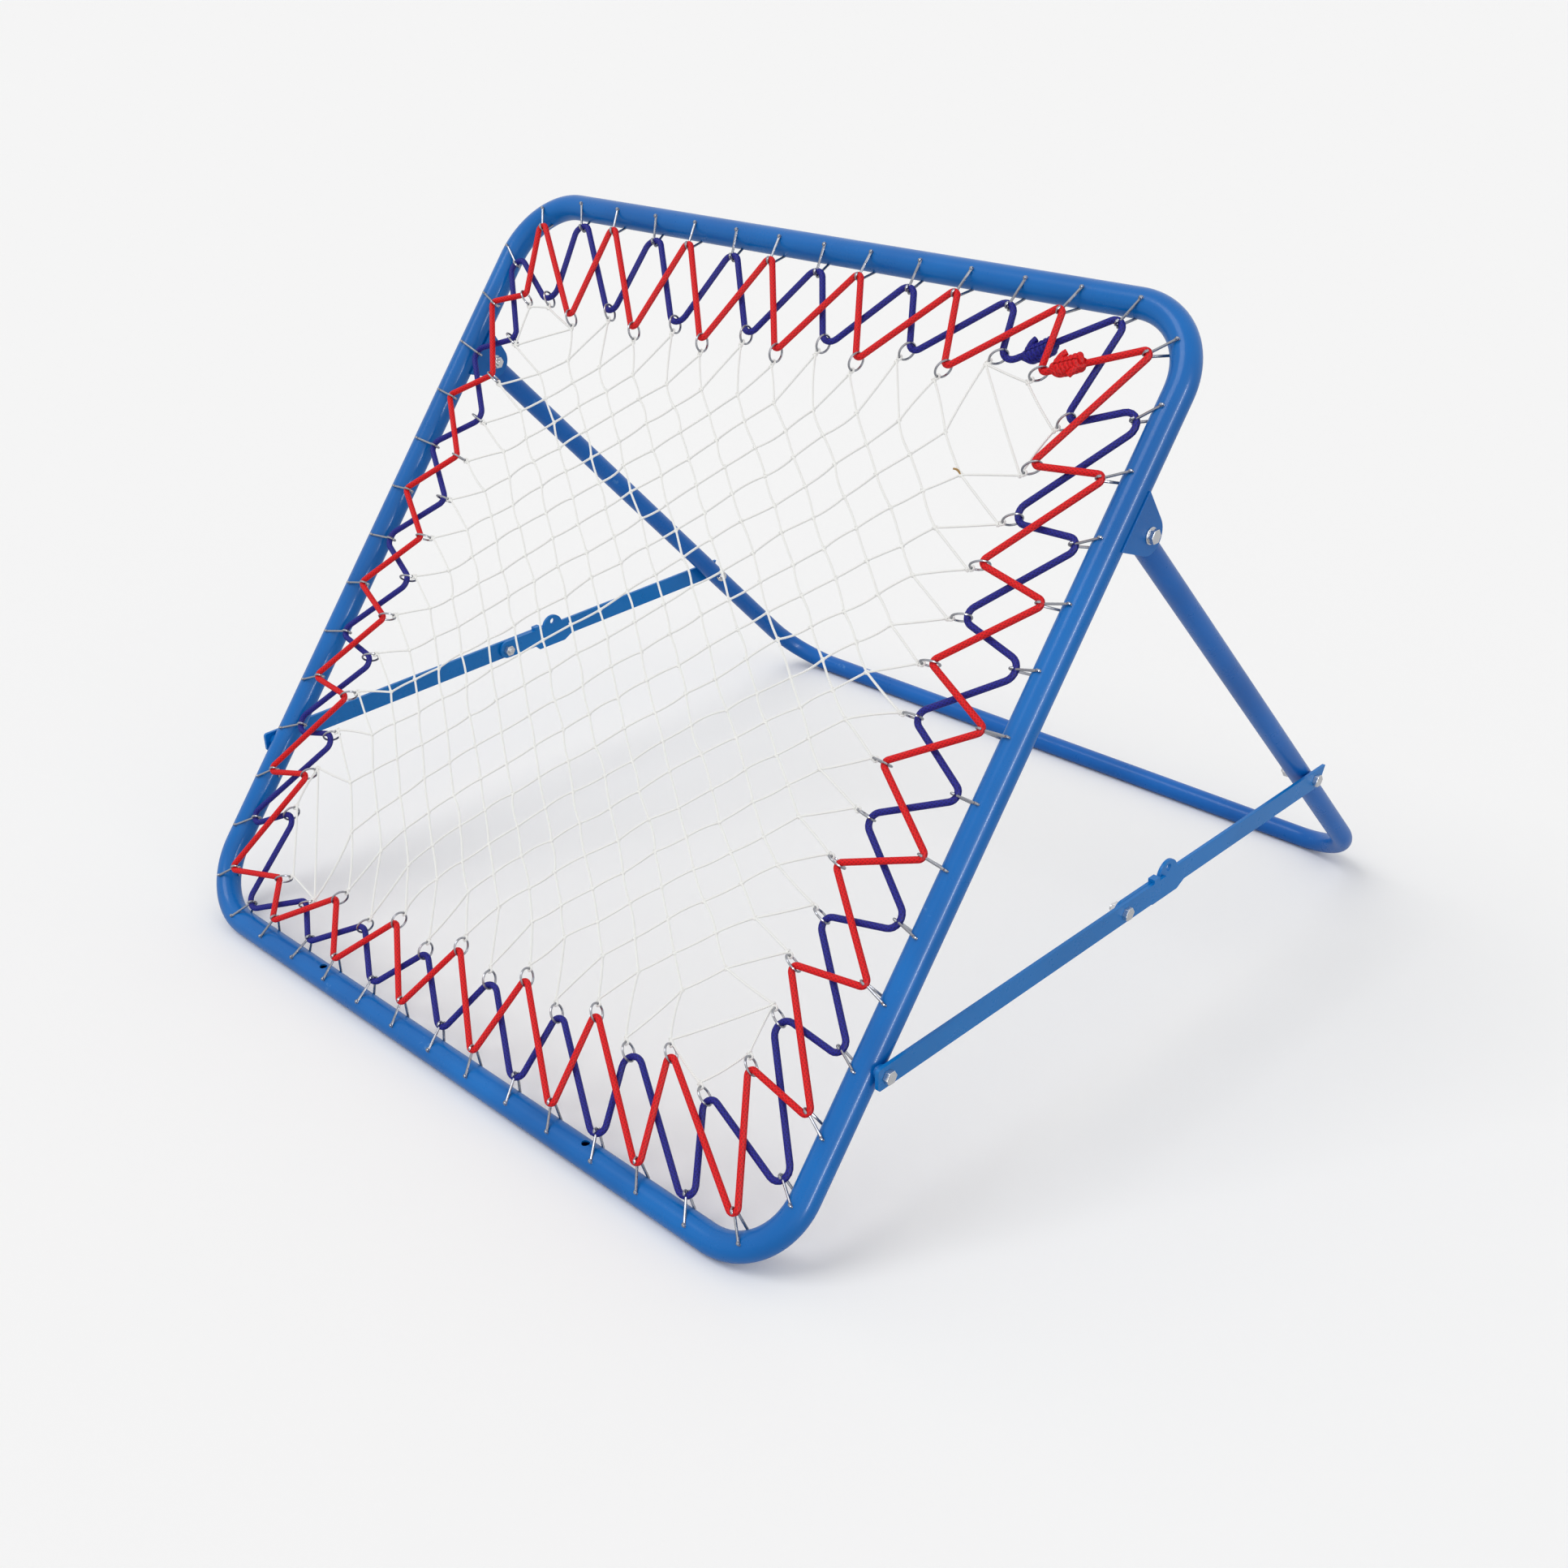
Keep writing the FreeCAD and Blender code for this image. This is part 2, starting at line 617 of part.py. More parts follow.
def elastic_route(red, knot_station):
    """Points of an elastic's centre line, from its knot once round the net and back to it."""
    turns = elastic_turns(red)
    corners = 2
    route = []
    for step in range(1, STATIONS + 1):
        k = (knot_station + step) % STATIONS
        centre, radius, side = turns[k]
        heading_in = run_heading(turns[k - 1], turns[k])
        heading_out = run_heading(turns[k], turns[(k + 1) % STATIONS])
        turn = (heading_out - heading_in + math.pi) % (2.0 * math.pi) - math.pi
        reach = radius / math.cos(turn / (2.0 * corners))
        for corner in range(corners):
            heading = heading_in + turn * (corner + 0.5) / corners
            route.append(centre - heading_left(heading) * (side * reach))
    near = turns[knot_station]
    heading = run_heading(near, turns[(knot_station + 1) % STATIONS])
    start = near[0] - heading_left(heading) * (near[2] * near[1])
    along = V(math.cos(heading), math.sin(heading), 0)
    knot_start = start + along * KNOT_FROM_RING
    knot_end = start + along * (KNOT_FROM_RING + KNOT_LENGTH)
    route = [knot_end] + route + [knot_start]
    lift = V(0, 0, plane_of(red))
    return [p + lift for p in route], knot_start + lift, along


def elastic(red, knot_station):
    """Round elastic cord, shown with six flat sides, laced hook to ring all the way round."""
    route, _, _ = elastic_route(red, knot_station)
    cord = faceted_tube(route, Z_AXIS, ELASTIC_R, ELASTIC_SIDES)
    report_elastic("red elastic" if red else "blue elastic", cord, route)
    return to_row(cord)


def knot(red, knot_station):
    """Tied ends of an elastic: an eight-sided lump, swelling between its two flat ends."""
    _, start, along = elastic_route(red, knot_station)
    across = Z_AXIS.cross(along)
    sides = 8
    stages = 5
    rings = []
    for stage in range(stages):
        swell = math.sin(math.pi * stage / (stages - 1))
        radius = (KNOT_END_D + (KNOT_D - KNOT_END_D) * swell) / 2.0
        centre = start + along * (KNOT_LENGTH * stage / (stages - 1))
        centre.z += KNOT_SHIFT if red else -KNOT_SHIFT
        rings.append([centre + across * (radius * math.cos(angle)) + Z_AXIS * (radius * math.sin(angle))
                      for angle in [2.0 * math.pi * i / sides for i in range(sides)]])
    faces = [polygon_face(rings[0]), polygon_face(rings[-1])]
    for near, far in zip(rings, rings[1:]):
        for i in range(sides):
            j = (i + 1) % sides
            faces.append(polygon_face([near[i], near[j], far[j], far[i]]))
    return to_row(sewn_solid(faces))


# Net

def relaxed_knots(tips):
    """Knots of a diamond net at rest: each inner knot lies at the weighted mean of its four
    neighbours. Keys are half-cell steps (a, b) with a + b odd; tips are fixed."""
    cells = SIDE - 2
    span = 2 * cells
    knots = {}
    for a in range(span + 1):
        for b in range(span + 1):
            if (a + b) % 2 == 1:
                top = tips["top"][0] * (1 - a / span) + tips["top"][-1] * (a / span)
                low = tips["bottom"][0] * (1 - a / span) + tips["bottom"][-1] * (a / span)
                knots[(a, b)] = top * (1 - b / span) + low * (b / span)
    fixed = {}
    for i in range(cells):
        fixed[(2 * i + 1, 0)] = tips["top"][i]
        fixed[(2 * i + 1, span)] = tips["bottom"][i]
        fixed[(0, 2 * i + 1)] = tips["left"][i]
        fixed[(span, 2 * i + 1)] = tips["right"][i]
    knots.update(fixed)
    for _ in range(150):
        for key in knots:
            if key not in fixed:
                knots[key] = neighbour_mean(knots, fixed, key)
    return knots


def neighbour_mean(knots, fixed, key):
    total = V(0, 0, 0)
    weight_sum = 0.0
    for da, db in ((1, 1), (1, -1), (-1, 1), (-1, -1)):
        near = (key[0] + da, key[1] + db)
        weight = EDGE_PULL if near in fixed else 1.0
        total += knots[near] * weight
        weight_sum += weight
    return total * (1.0 / weight_sum)


def side_stations(side):
    """Stations of the rings along one side of the net, clockwise: 0 is the top."""
    first = (side - 1) * SIDE + SIDE // 2
    return [(first + i) % STATIONS for i in range(SIDE)]


def net_wire(k):
    """Where the wire of ring k crosses the net's plane, on the ring's inner side."""
    return net_side_point(k) - ring_pull(k) * RING_MID_R


def seated_tip(wire, near, far):
    """Tip whose two cords, which run to near and far, pass either side of a ring's wire."""
    tip = wire
    for _ in range(4):
        one = (near - tip).normalize()
        two = (far - tip).normalize()
        inward = (one + two).normalize()
        tip = wire - inward * (NET_SEAT / math.sin(math.acos(one.dot(inward))))
    return tip


def inset(points, distance):
    """Polygon with each edge moved inwards by a distance; points run counter-clockwise."""
    count = len(points)
    moved = []
    for i in range(count):
        before = (points[i] - points[i - 1]).normalize()
        after = (points[(i + 1) % count] - points[i]).normalize()
        normal = V(-before.y - after.y, before.x + after.x, 0)
        moved.append(points[i] + normal * (2.0 * distance / normal.dot(normal)))
    return moved


def signed_area(points):
    total = 0.0
    for i, p in enumerate(points):
        q = points[(i + 1) % len(points)]
        total += p.x * q.y - q.x * p.y
    return total / 2.0


def net_outline(knots, span, sides):
    """Outline of the net, clockwise, and the four corner meshes outside the diamond lattice."""
    ends = {
        "top": ((span - 1, 0), (span, 1)),
        "right": ((span, span - 1), (span - 1, span)),
        "bottom": ((1, span), (0, span - 1)),
        "left": ((0, 1), (1, 0)),
    }
    order = list(sides)
    corner_tips = []
    for i, name in enumerate(order):
        last, first = sides[name][-1], sides[order[(i + 1) % 4]][0]
        before, after = knots[ends[name][0]], knots[ends[name][1]]
        tip = seated_tip(net_wire(last), before, net_wire(first))
        following = seated_tip(net_wire(first), tip, after)
        corner_tips.append((before, tip, following, after))
    outline = []
    for i, name in enumerate(order):
        outline.append(corner_tips[i - 1][2])
        outline += edge_zigzag(knots, span, name)
        outline.append(corner_tips[i][1])
    return outline, [list(corner) for corner in corner_tips]


def net():
    """Knotless diamond net, cut from one sheet: an outline and one hole for each mesh."""
    sides = {name: side_stations(i) for i, name in enumerate(("top", "right", "bottom", "left"))}
    wires = {name: [net_wire(k) for k in stations[1:-1]] for name, stations in sides.items()}
    wires["bottom"].reverse()
    wires["left"].reverse()
    knots = relaxed_knots(wires)
    span = 2 * (SIDE - 2)
    seat_tips(knots, span)
    meshes = []
    for a in range(span + 1):
        for b in range(span + 1):
            corners = [(a + 1, b), (a, b + 1), (a - 1, b), (a, b - 1)]
            if (a + b) % 2 == 0 and all(c in knots for c in corners):
                meshes.append([knots[c] for c in corners])
    outline, corner_meshes = net_outline(knots, span, sides)
    meshes += corner_meshes
    for loop in meshes + [outline]:
        if signed_area(loop) < 0:
            loop.reverse()
    half = NET_CORD / 2.0
    loops = [inset(mesh, half) for mesh in meshes] + [inset(outline, -half)]
    sheet = Part.makeFace(Part.makeCompound([Part.makePolygon(loop + loop[:1]) for loop in loops]),
                          "Part::FaceMakerBullseye")
    sheet.translate(V(0, 0, NET_W - NET_THICK / 2.0))
    print("net meshes", len(meshes))
    return to_row(sheet.extrude(V(0, 0, NET_THICK)))


def seat_tips(knots, span):
    """Move each edge tip outwards, so that its cords clear the wire it was placed on."""
    seated = {}
    for a, b in knots:
        if b in (0, span):
            inner = 1 if b == 0 else span - 1
            neighbours = (a - 1, inner), (a + 1, inner)
        elif a in (0, span):
            inner = 1 if a == 0 else span - 1
            neighbours = (inner, b - 1), (inner, b + 1)
        else:
            continue
        seated[(a, b)] = seated_tip(knots[(a, b)], knots[neighbours[0]], knots[neighbours[1]])
    knots.update(seated)


def edge_zigzag(knots, span, name):
    """Knots along one edge of the net, clockwise, tips and the inner knots between them."""
    line = []
    for step in range(1, span):
        depth = 0 if step % 2 == 1 else 1
        key = {"top": (step, depth), "right": (span - depth, step),
               "bottom": (span - step, span - depth), "left": (depth, span - step)}[name]
        line.append(knots[key])
    return line


# Parts list

def build():
    ear_face = HALF + LEG_R + EAR_GAP + EAR_THICK
    ear_inner = HALF - LEG_R - EAR_GAP - EAR_THICK
    hinge_bolts, hinge_nuts = through_bolt(ear_face + WASHER_T, ear_inner - WASHER_T,
                                           HINGE_Y, HINGE_Z)
    # The front pivot's nut is captive in the hollow, so that hooks have room inside the ring
    seat_r = RING_R - RING_TUBE_WALL
    nut_seat = HALF + math.sqrt(seat_r ** 2 - (HEX_AF / 2.0 / math.cos(math.pi / 6.0)) ** 2)
    front_bolts, front_nuts = through_bolt(FRONT_BAR_X + BAR_T + BUSH_GAP, nut_seat,
                                           STAY_Y, STAY_Z)
    nodes = {
        "ring_tube": [ring_tube()],
        "hinge_ears": hinge_ears(),
        "hinge_bolts": hinge_bolts,
        "hinge_nuts": hinge_nuts,
        "hinge_washers": hinge_washers(ear_face, ear_inner),
        "stay_bushes_front": front_bushes(),
        "front_pivot_bolts": front_bolts,
        "front_pivot_nuts": front_nuts,
        "leg_tube": [leg_tube()],
        "stay_bushes_rear": rear_bushes(),
        "net": [net()],
        "red_elastic": [elastic(True, RED_KNOT_STATION)],
        "blue_elastic": [elastic(False, BLUE_KNOT_STATION)],
        "red_knot": [knot(True, RED_KNOT_STATION)],
        "blue_knot": [knot(False, BLUE_KNOT_STATION)],
    }
    for i, name in enumerate(("top", "right", "bottom", "left")):
        nodes["hooks_" + name] = hooks(side_stations(i))
        nodes["rings_" + name] = net_rings(side_stations(i))
    nodes.update(rear_pivot_leg_half())
    stay = {
        "front_bar": front_bar(),
        "rear_bar": rear_bar(),
        "rear_pivot_head": rear_pivot_head(),
    }
    stay.update(knee_fasteners())
    for name, shape in stay.items():
        nodes[name + "_right"] = [shape]
        nodes[name + "_left"] = [mirrored(shape)]
    return nodes


def folded_knee_offset():
    """Distance from the side tube's axis to the knee's axis where the knee nut meets the tube."""
    nut_face = REAR_BAR_X - FACE_CLEAR - NUT_H
    nut_corner = HEX_AF / 2.0 / math.cos(math.pi / 6.0)
    at_nut = math.sqrt(RING_R ** 2 - (nut_face - HALF) ** 2) + nut_corner
    thread = nut_face - THREAD_PAST_NUT
    at_thread = math.sqrt(RING_R ** 2 - (thread - HALF) ** 2) + BOLT_R
    return max(at_nut, at_thread) + FOLD_CLEAR


def fold_angles():
    """Angles, in degrees, that the leg, the front bar and the knee turn when folded. The knee
    rises until its nut meets the side tube, which is where the leg stops as well."""
    heading = TILT_RAD - math.asin(folded_knee_offset() / FRONT_BAR)
    knee_y = STAY_Y + FRONT_BAR * math.cos(heading)
    knee_z = STAY_Z + FRONT_BAR * math.sin(heading)
    reach = math.hypot(knee_y - HINGE_Y, knee_z - HINGE_Z)
    to_knee = math.atan2(knee_z - HINGE_Z, knee_y - HINGE_Y)
    spread = math.acos((reach ** 2 + STAY_ON_LEG ** 2 - REAR_BAR ** 2)
                       / (2.0 * reach * STAY_ON_LEG))
    leg_heading = to_knee + spread
    pivot_y = HINGE_Y + STAY_ON_LEG * math.cos(leg_heading)
    pivot_z = HINGE_Z + STAY_ON_LEG * math.sin(leg_heading)
    rear_heading = math.atan2(pivot_z - knee_z, pivot_y - knee_y)
    leg_turn = -LEG_SLOPE - leg_heading
    front_turn = heading - STAY_SLOPE
    knee_turn = STAY_SLOPE - rear_heading + front_turn
    return [math.degrees(angle) for angle in (leg_turn, front_turn, knee_turn)]


def report_elastic(name, solid, route):
    """Compare a cord's volume with its section times the length of its centre line."""
    length = sum((b - a).Length for a, b in zip(route, route[1:]))
    section = ELASTIC_SIDES / 2.0 * ELASTIC_R ** 2 * math.sin(2.0 * math.pi / ELASTIC_SIDES)
    print(name, "length", round(length, 1), "volume", round(solid.Volume, 1),
          "section by length", round(section * length, 1))


def report():
    print("leg slope", round(math.degrees(LEG_SLOPE), 4), "rear bar", round(REAR_BAR, 3))
    for name, y, z in (("hinge", HINGE_Y, HINGE_Z), ("front pivot", STAY_Y, STAY_Z),
                       ("rear pivot", REAR_Y, REAR_Z), ("knee", KNEE_Y, KNEE_Z)):
        print(name, "y", round(y - CENTRE_Y, 4), "z", round(z, 4))
    print("fold angles leg, front bar, knee", [round(a, 4) for a in fold_angles()])
    print("elastic turn radii", HOOK_TURN, RING_TURN, "gap between elastics",
          round(2.0 * COLOUR_STEP - ELASTIC_D, 2))
    print("centre y", round(CENTRE_Y, 4))


def main():
    os.makedirs("parts", exist_ok=True)
    for name, solids in build().items():
        shape = solids[0] if len(solids) == 1 else Part.makeCompound(solids)
        if not shape.isValid():
            print("not valid:", name)
        shape.exportStep(os.path.join("parts", name + ".step"))
    report()


main()
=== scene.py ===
"""Looks of a tchoukball rebound frame, in metres: bent blue tubes, wire hooks and rings, two laced
elastics with their knots, the knotted net, and the folding leg and stays with their fasteners.
Ring-frame points are (u, v, w): u to the right, v up the net, w towards the thrower."""

import json
import math

import bpy
import numpy as np
from mathutils import Matrix


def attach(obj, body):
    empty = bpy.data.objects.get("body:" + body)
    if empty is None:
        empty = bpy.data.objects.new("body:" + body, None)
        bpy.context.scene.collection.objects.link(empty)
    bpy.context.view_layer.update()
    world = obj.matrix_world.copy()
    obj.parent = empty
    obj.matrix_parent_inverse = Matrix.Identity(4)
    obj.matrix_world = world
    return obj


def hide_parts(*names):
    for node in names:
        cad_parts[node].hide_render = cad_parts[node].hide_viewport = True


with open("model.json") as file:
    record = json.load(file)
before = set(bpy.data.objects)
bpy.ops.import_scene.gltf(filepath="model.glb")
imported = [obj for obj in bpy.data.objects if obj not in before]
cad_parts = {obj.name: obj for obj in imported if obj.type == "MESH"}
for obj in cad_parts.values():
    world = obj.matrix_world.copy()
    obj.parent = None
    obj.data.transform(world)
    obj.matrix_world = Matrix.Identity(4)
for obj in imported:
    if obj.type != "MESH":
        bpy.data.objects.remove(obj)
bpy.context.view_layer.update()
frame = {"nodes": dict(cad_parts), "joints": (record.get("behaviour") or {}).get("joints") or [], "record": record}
nodes = frame["nodes"]


# The square ring: one round steel tube with four large bends under a satin blue powder coat. It is
# hollow, and two upright holes for ground pegs run through the bottom tube.
RING_R = 0.015
RING_WALL = 0.002
HALF = 0.485                  # centre of the ring to the axis of each side tube
BEND_R = 0.080
STRAIGHT = 2.0 * (HALF - BEND_R)
QUARTER = math.pi / 2.0 * BEND_R
PERIMETER = 4.0 * (STRAIGHT + QUARTER)
TILT = math.radians(52.0)
CENTRE_Y = -frame["record"]["mounts"][0]["pos_m"][1]


def ring_line(distance):
    """Centre line of the ring, clockwise from the middle of the top tube: points and outward
    normals. A side is a straight run and then a quarter circle, turned by 90 degrees per side."""
    along = (np.asarray(distance, float) + STRAIGHT / 2.0) % PERIMETER
    turns = np.floor(along / (STRAIGHT + QUARTER))
    along = along - turns * (STRAIGHT + QUARTER)
    bend = np.clip((along - STRAIGHT) / BEND_R, 0.0, None)
    run = HALF - BEND_R
    outward = np.stack([np.sin(bend), np.cos(bend), 0.0 * bend], -1)
    point = np.stack([np.minimum(along, STRAIGHT) - run, run + 0.0 * bend, 0.0 * bend], -1)
    point = point + BEND_R * outward
    cos, sin = np.cos(-math.pi / 2.0 * turns), np.sin(-math.pi / 2.0 * turns)

    def turned(p):
        return np.stack([cos * p[..., 0] - sin * p[..., 1],
                         sin * p[..., 0] + cos * p[..., 1], p[..., 2]], -1)
    return turned(point), turned(outward)


def in_row(points):
    """Ring-frame points in the row frame: tilted about the bottom tube and stood on the floor."""
    u, v, w = points[..., 0], points[..., 1] + HALF, points[..., 2]
    return np.stack([u, math.cos(TILT) * v - math.sin(TILT) * w - CENTRE_Y,
                     math.sin(TILT) * v + math.cos(TILT) * w + RING_R], -1)


def unit(vectors):
    return vectors / np.linalg.norm(vectors, axis=-1, keepdims=True)


def swept(path, up, radius, sides, closed=False):
    """Rings of points round each path of a batch. With the tangent t and a vector up square to it,
    a ring is path + radius (up x t cos a + up sin a)."""
    if closed:
        tangent = np.roll(path, -1, 1) - np.roll(path, 1, 1)
    else:
        ahead = np.concatenate([path[:, 1:], path[:, -1:]], 1)
        behind = np.concatenate([path[:, :1], path[:, :-1]], 1)
        tangent = ahead - behind
    tangent = unit(tangent)
    up = np.broadcast_to(up, path.shape)
    up = unit(up - tangent * np.sum(up * tangent, -1, keepdims=True))
    across = np.cross(up, tangent)
    angle = 2.0 * math.pi * np.arange(sides) / sides
    radius = np.broadcast_to(radius, path.shape[:2])[..., None, None]
    return (path[:, :, None] + radius * (across[:, :, None] * np.cos(angle)[:, None]
                                         + up[:, :, None] * np.sin(angle)[:, None]))


def length_along(path):
    """Distance along each path of a batch, from its first point."""
    step = np.linalg.norm(np.diff(path, axis=1), axis=-1)
    return np.concatenate([np.zeros((len(path), 1)), np.cumsum(step, 1)], 1)


def surface(name, batches, material, body, stands_for=(), sharp=40.0):
    """One mesh piece from batches of (rings, closed). Neighbouring points of neighbouring rings
    make quads, open ends get a flat cap. UV is round the section, and metres along the path."""
    corners, loops, sizes, uvs = [], [], [], []
    start = 0
    for rings, closed in batches:
        paths, count, sides = rings.shape[:3]
        index = start + np.arange(paths * count * sides).reshape(paths, count, sides)
        centre = rings.mean(2)
        along = length_along(np.concatenate([centre, centre[:, :1]], 1))
        if closed:
            index = np.concatenate([index, index[:, :1]], 1)
        near, far = index[:, :-1], index[:, 1:]
        quads = np.stack([near, np.roll(near, -1, 2), np.roll(far, -1, 2), far], -1)
        runs = quads.shape[1]
        a = np.arange(sides) / sides
        u = np.broadcast_to(np.stack([a, a + 1.0 / sides, a + 1.0 / sides, a], -1), quads.shape)
        low = np.broadcast_to(along[:, :runs, None], quads.shape[:3])
        high = np.broadcast_to(along[:, 1:runs + 1, None], quads.shape[:3])
        v = np.stack([low, low, high, high], -1)
        corners.append(rings.reshape(-1, 3))
        loops.append(quads.reshape(-1))
        sizes.append(np.full(quads.size // 4, 4))
        uvs.append(np.stack([u, v], -1).reshape(-1, 2))
        if not closed:
            caps = np.stack([index[:, 0, ::-1], index[:, -1]], 1)
            loops.append(caps.reshape(-1))
            sizes.append(np.full(2 * paths, sides))
            uvs.append(np.zeros((caps.size, 2)))
        start += paths * count * sides
    loops, sizes = np.concatenate(loops), np.concatenate(sizes)
    mesh = bpy.data.meshes.new(name)
    mesh.vertices.add(start)
    mesh.vertices.foreach_set("co", in_row(np.concatenate(corners)).astype(np.float32).ravel())
    mesh.loops.add(len(loops))
    mesh.loops.foreach_set("vertex_index", loops.astype(np.int32))
    mesh.polygons.add(len(sizes))
    mesh.polygons.foreach_set("loop_start", (np.cumsum(sizes) - sizes).astype(np.int32))
    mesh.polygons.foreach_set("use_smooth", np.ones(len(sizes), bool))
    layer = mesh.uv_layers.new(name="along")
    mesh.update(calc_edges=True)
    layer.data.foreach_set("uv", np.concatenate(uvs).astype(np.float32).ravel())
    mesh.set_sharp_from_angle(angle=math.radians(sharp))
    mesh.materials.append(material)
    piece = bpy.data.objects.new(name, mesh)
    bpy.context.scene.collection.objects.link(piece)
    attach(piece, body)
    if stands_for:
        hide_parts(*stands_for)
    return piece


def linear(code):
    """Linear colour of an sRGB hex code."""
    parts = [int(code[i:i + 2], 16) / 255.0 for i in (1, 3, 5)]
    return [p / 12.92 if p <= 0.04045 else ((p + 0.055) / 1.055) ** 2.4 for p in parts] + [1.0]


def add(tree, kind, settings=(), **inputs):
    """New shader node. Inputs take a number, a colour or another node's output."""
    made = tree.nodes.new("ShaderNode" + kind)
    for name, value in dict(settings).items():
        setattr(made, name, value)
    for name, value in inputs.items():
        if name[0] == "i" and name[1:].isdigit():
            socket = made.inputs[int(name[1:])]
        else:
            socket = made.inputs[name.replace("_", " ")]
        if isinstance(value, bpy.types.NodeSocket):
            tree.links.new(value, socket)
        else:
            socket.default_value = value
    return made


def new_material(name):
    material = bpy.data.materials.new(name)
    material.use_nodes = True
    tree = material.node_tree
    tree.nodes.clear()
    shader = tree.nodes.new("ShaderNodeBsdfPrincipled")
    out = tree.nodes.new("ShaderNodeOutputMaterial")
    tree.links.new(shader.outputs["BSDF"], out.inputs["Surface"])
    return material, tree, shader


def powder_coat(name, code, dark):
    """Satin powder coat: broad drifts of shade, a fine orange peel of about 1.5 mm, and sparse pale
    rubs of a few millimetres that also dull the gloss."""
    material, tree, shader = new_material(name)
    place = add(tree, "TexCoord").outputs["Object"]
    drift = add(tree, "TexNoise", Vector=place, Scale=7.0, Detail=3.0).outputs["Fac"]
    shade = add(tree, "MapRange", Value=drift, From_Min=0.35, From_Max=0.65).outputs["Result"]
    coat = add(tree, "Mix", {"data_type": "RGBA"}, i0=shade, i6=linear(dark), i7=linear(code))
    patch = add(tree, "TexNoise", Vector=place, Scale=26.0, Detail=6.0, Roughness=0.7)
    rub = add(tree, "MapRange", Value=patch.outputs["Fac"], From_Min=0.66, From_Max=0.74,
              To_Max=0.35)
    worn = add(tree, "Mix", {"data_type": "RGBA"}, i0=rub.outputs["Result"],
               i6=coat.outputs[2], i7=linear("#7FB4DE"))
    gloss = add(tree, "MapRange", Value=patch.outputs["Fac"], From_Min=0.3, From_Max=0.75,
                To_Min=0.24, To_Max=0.38)
    peel = add(tree, "TexNoise", Vector=place, Scale=650.0, Detail=2.0).outputs["Fac"]
    bump = add(tree, "Bump", Height=peel, Strength=0.25, Distance=0.0002)
    tree.links.new(worn.outputs[2], shader.inputs["Base Color"])
    tree.links.new(gloss.outputs["Result"], shader.inputs["Roughness"])
    tree.links.new(bump.outputs["Normal"], shader.inputs["Normal"])
    shader.inputs["Coat Weight"].default_value = 0.15
    shader.inputs["Coat Roughness"].default_value = 0.1
    shader.inputs["Specular IOR Level"].default_value = 0.25
    return material


tube_coat = powder_coat("satin_blue_powder_coat", "#006EC0", "#0062B0")

# Rings of points lie close along the bends and near the peg holes, and far apart elsewhere
PEG_U = frame["record"]["mounts"][1]["pos_m"][0]
side_starts = np.arange(4) * (STRAIGHT + QUARTER) - STRAIGHT / 2.0
straight_steps = np.linspace(0.0, STRAIGHT, 28, endpoint=False)
bend_steps = STRAIGHT + np.linspace(0.0, QUARTER, 24, endpoint=False)
distances = (side_starts[:, None] + np.concatenate([straight_steps, bend_steps])).ravel()
middle_low = PERIMETER / 2.0
near_pegs = middle_low + np.array([-PEG_U, PEG_U])[:, None] + np.linspace(-0.012, 0.012, 9)
distances = np.unique(np.round(np.concatenate([distances, near_pegs.ravel()]), 6))
line, line_out = ring_line(distances)
W_AXIS = np.array([0.0, 0.0, 1.0])
outside = swept(line[None], W_AXIS, RING_R, 48, closed=True)
inside = swept(line[None], W_AXIS, RING_R - RING_WALL, 32, closed=True)[:, ::-1]
ring_piece = surface("ring_tube_bent", [(outside, True), (inside, True)], tube_coat, "main_frame",
                     ["ring_tube"])


def upright_cutter(x, radius):
    """Upright round rod through the bottom tube, which drills one peg hole."""
    angle = 2.0 * math.pi * np.arange(32) / 32
    ring = np.stack([x + radius * np.cos(angle), radius * np.sin(angle) - CENTRE_Y], -1)
    low = np.concatenate([ring, np.full((32, 1), -0.02)], 1)
    high = np.concatenate([ring, np.full((32, 1), 0.05)], 1)
    around = np.arange(32)
    walls = np.stack([around, (around + 1) % 32, (around + 1) % 32 + 32, around + 32], -1)
    mesh = bpy.data.meshes.new("peg_drill")
    mesh.from_pydata(np.concatenate([low, high]).tolist(), [],
                     walls.tolist() + [around[::-1].tolist(), (around + 32).tolist()])
    drill = bpy.data.objects.new("peg_drill", mesh)
    bpy.context.scene.collection.objects.link(drill)
    return drill


drills = [upright_cutter(mount["pos_m"][0], mount["dims"]["r_mm"] / 1000.0)
          for mount in frame["record"]["mounts"]]
for drill in drills:
    cut = ring_piece.modifiers.new("peg_hole", "BOOLEAN")
    cut.object = drill
    cut.solver = "EXACT"
bpy.context.view_layer.update()
drilled = bpy.data.meshes.new_from_object(
    ring_piece.evaluated_get(bpy.context.evaluated_depsgraph_get()))
drilled.set_sharp_from_angle(angle=math.radians(40.0))
ring_piece.modifiers.clear()
ring_piece.data = drilled
for drill in drills:
    bpy.data.objects.remove(drill)


# The rear leg: one thinner tube bent into a U, in the same powder coat a shade deeper. Its two ends
# are open and rounded about the hinge bolt, and its cross tube lies on the floor.
LEG_R = 0.0125
LEG_WALL = 0.002
LEG_LENGTH = 0.820
LEG_BEND_R = 0.080
LEG_NOSE_R = 0.0155
hinge = next(j for j in frame["joints"] if j["name"] == "leg_hinge")["pos_m"]
leg_slope = math.asin((hinge[2] - LEG_R) / LEG_LENGTH)


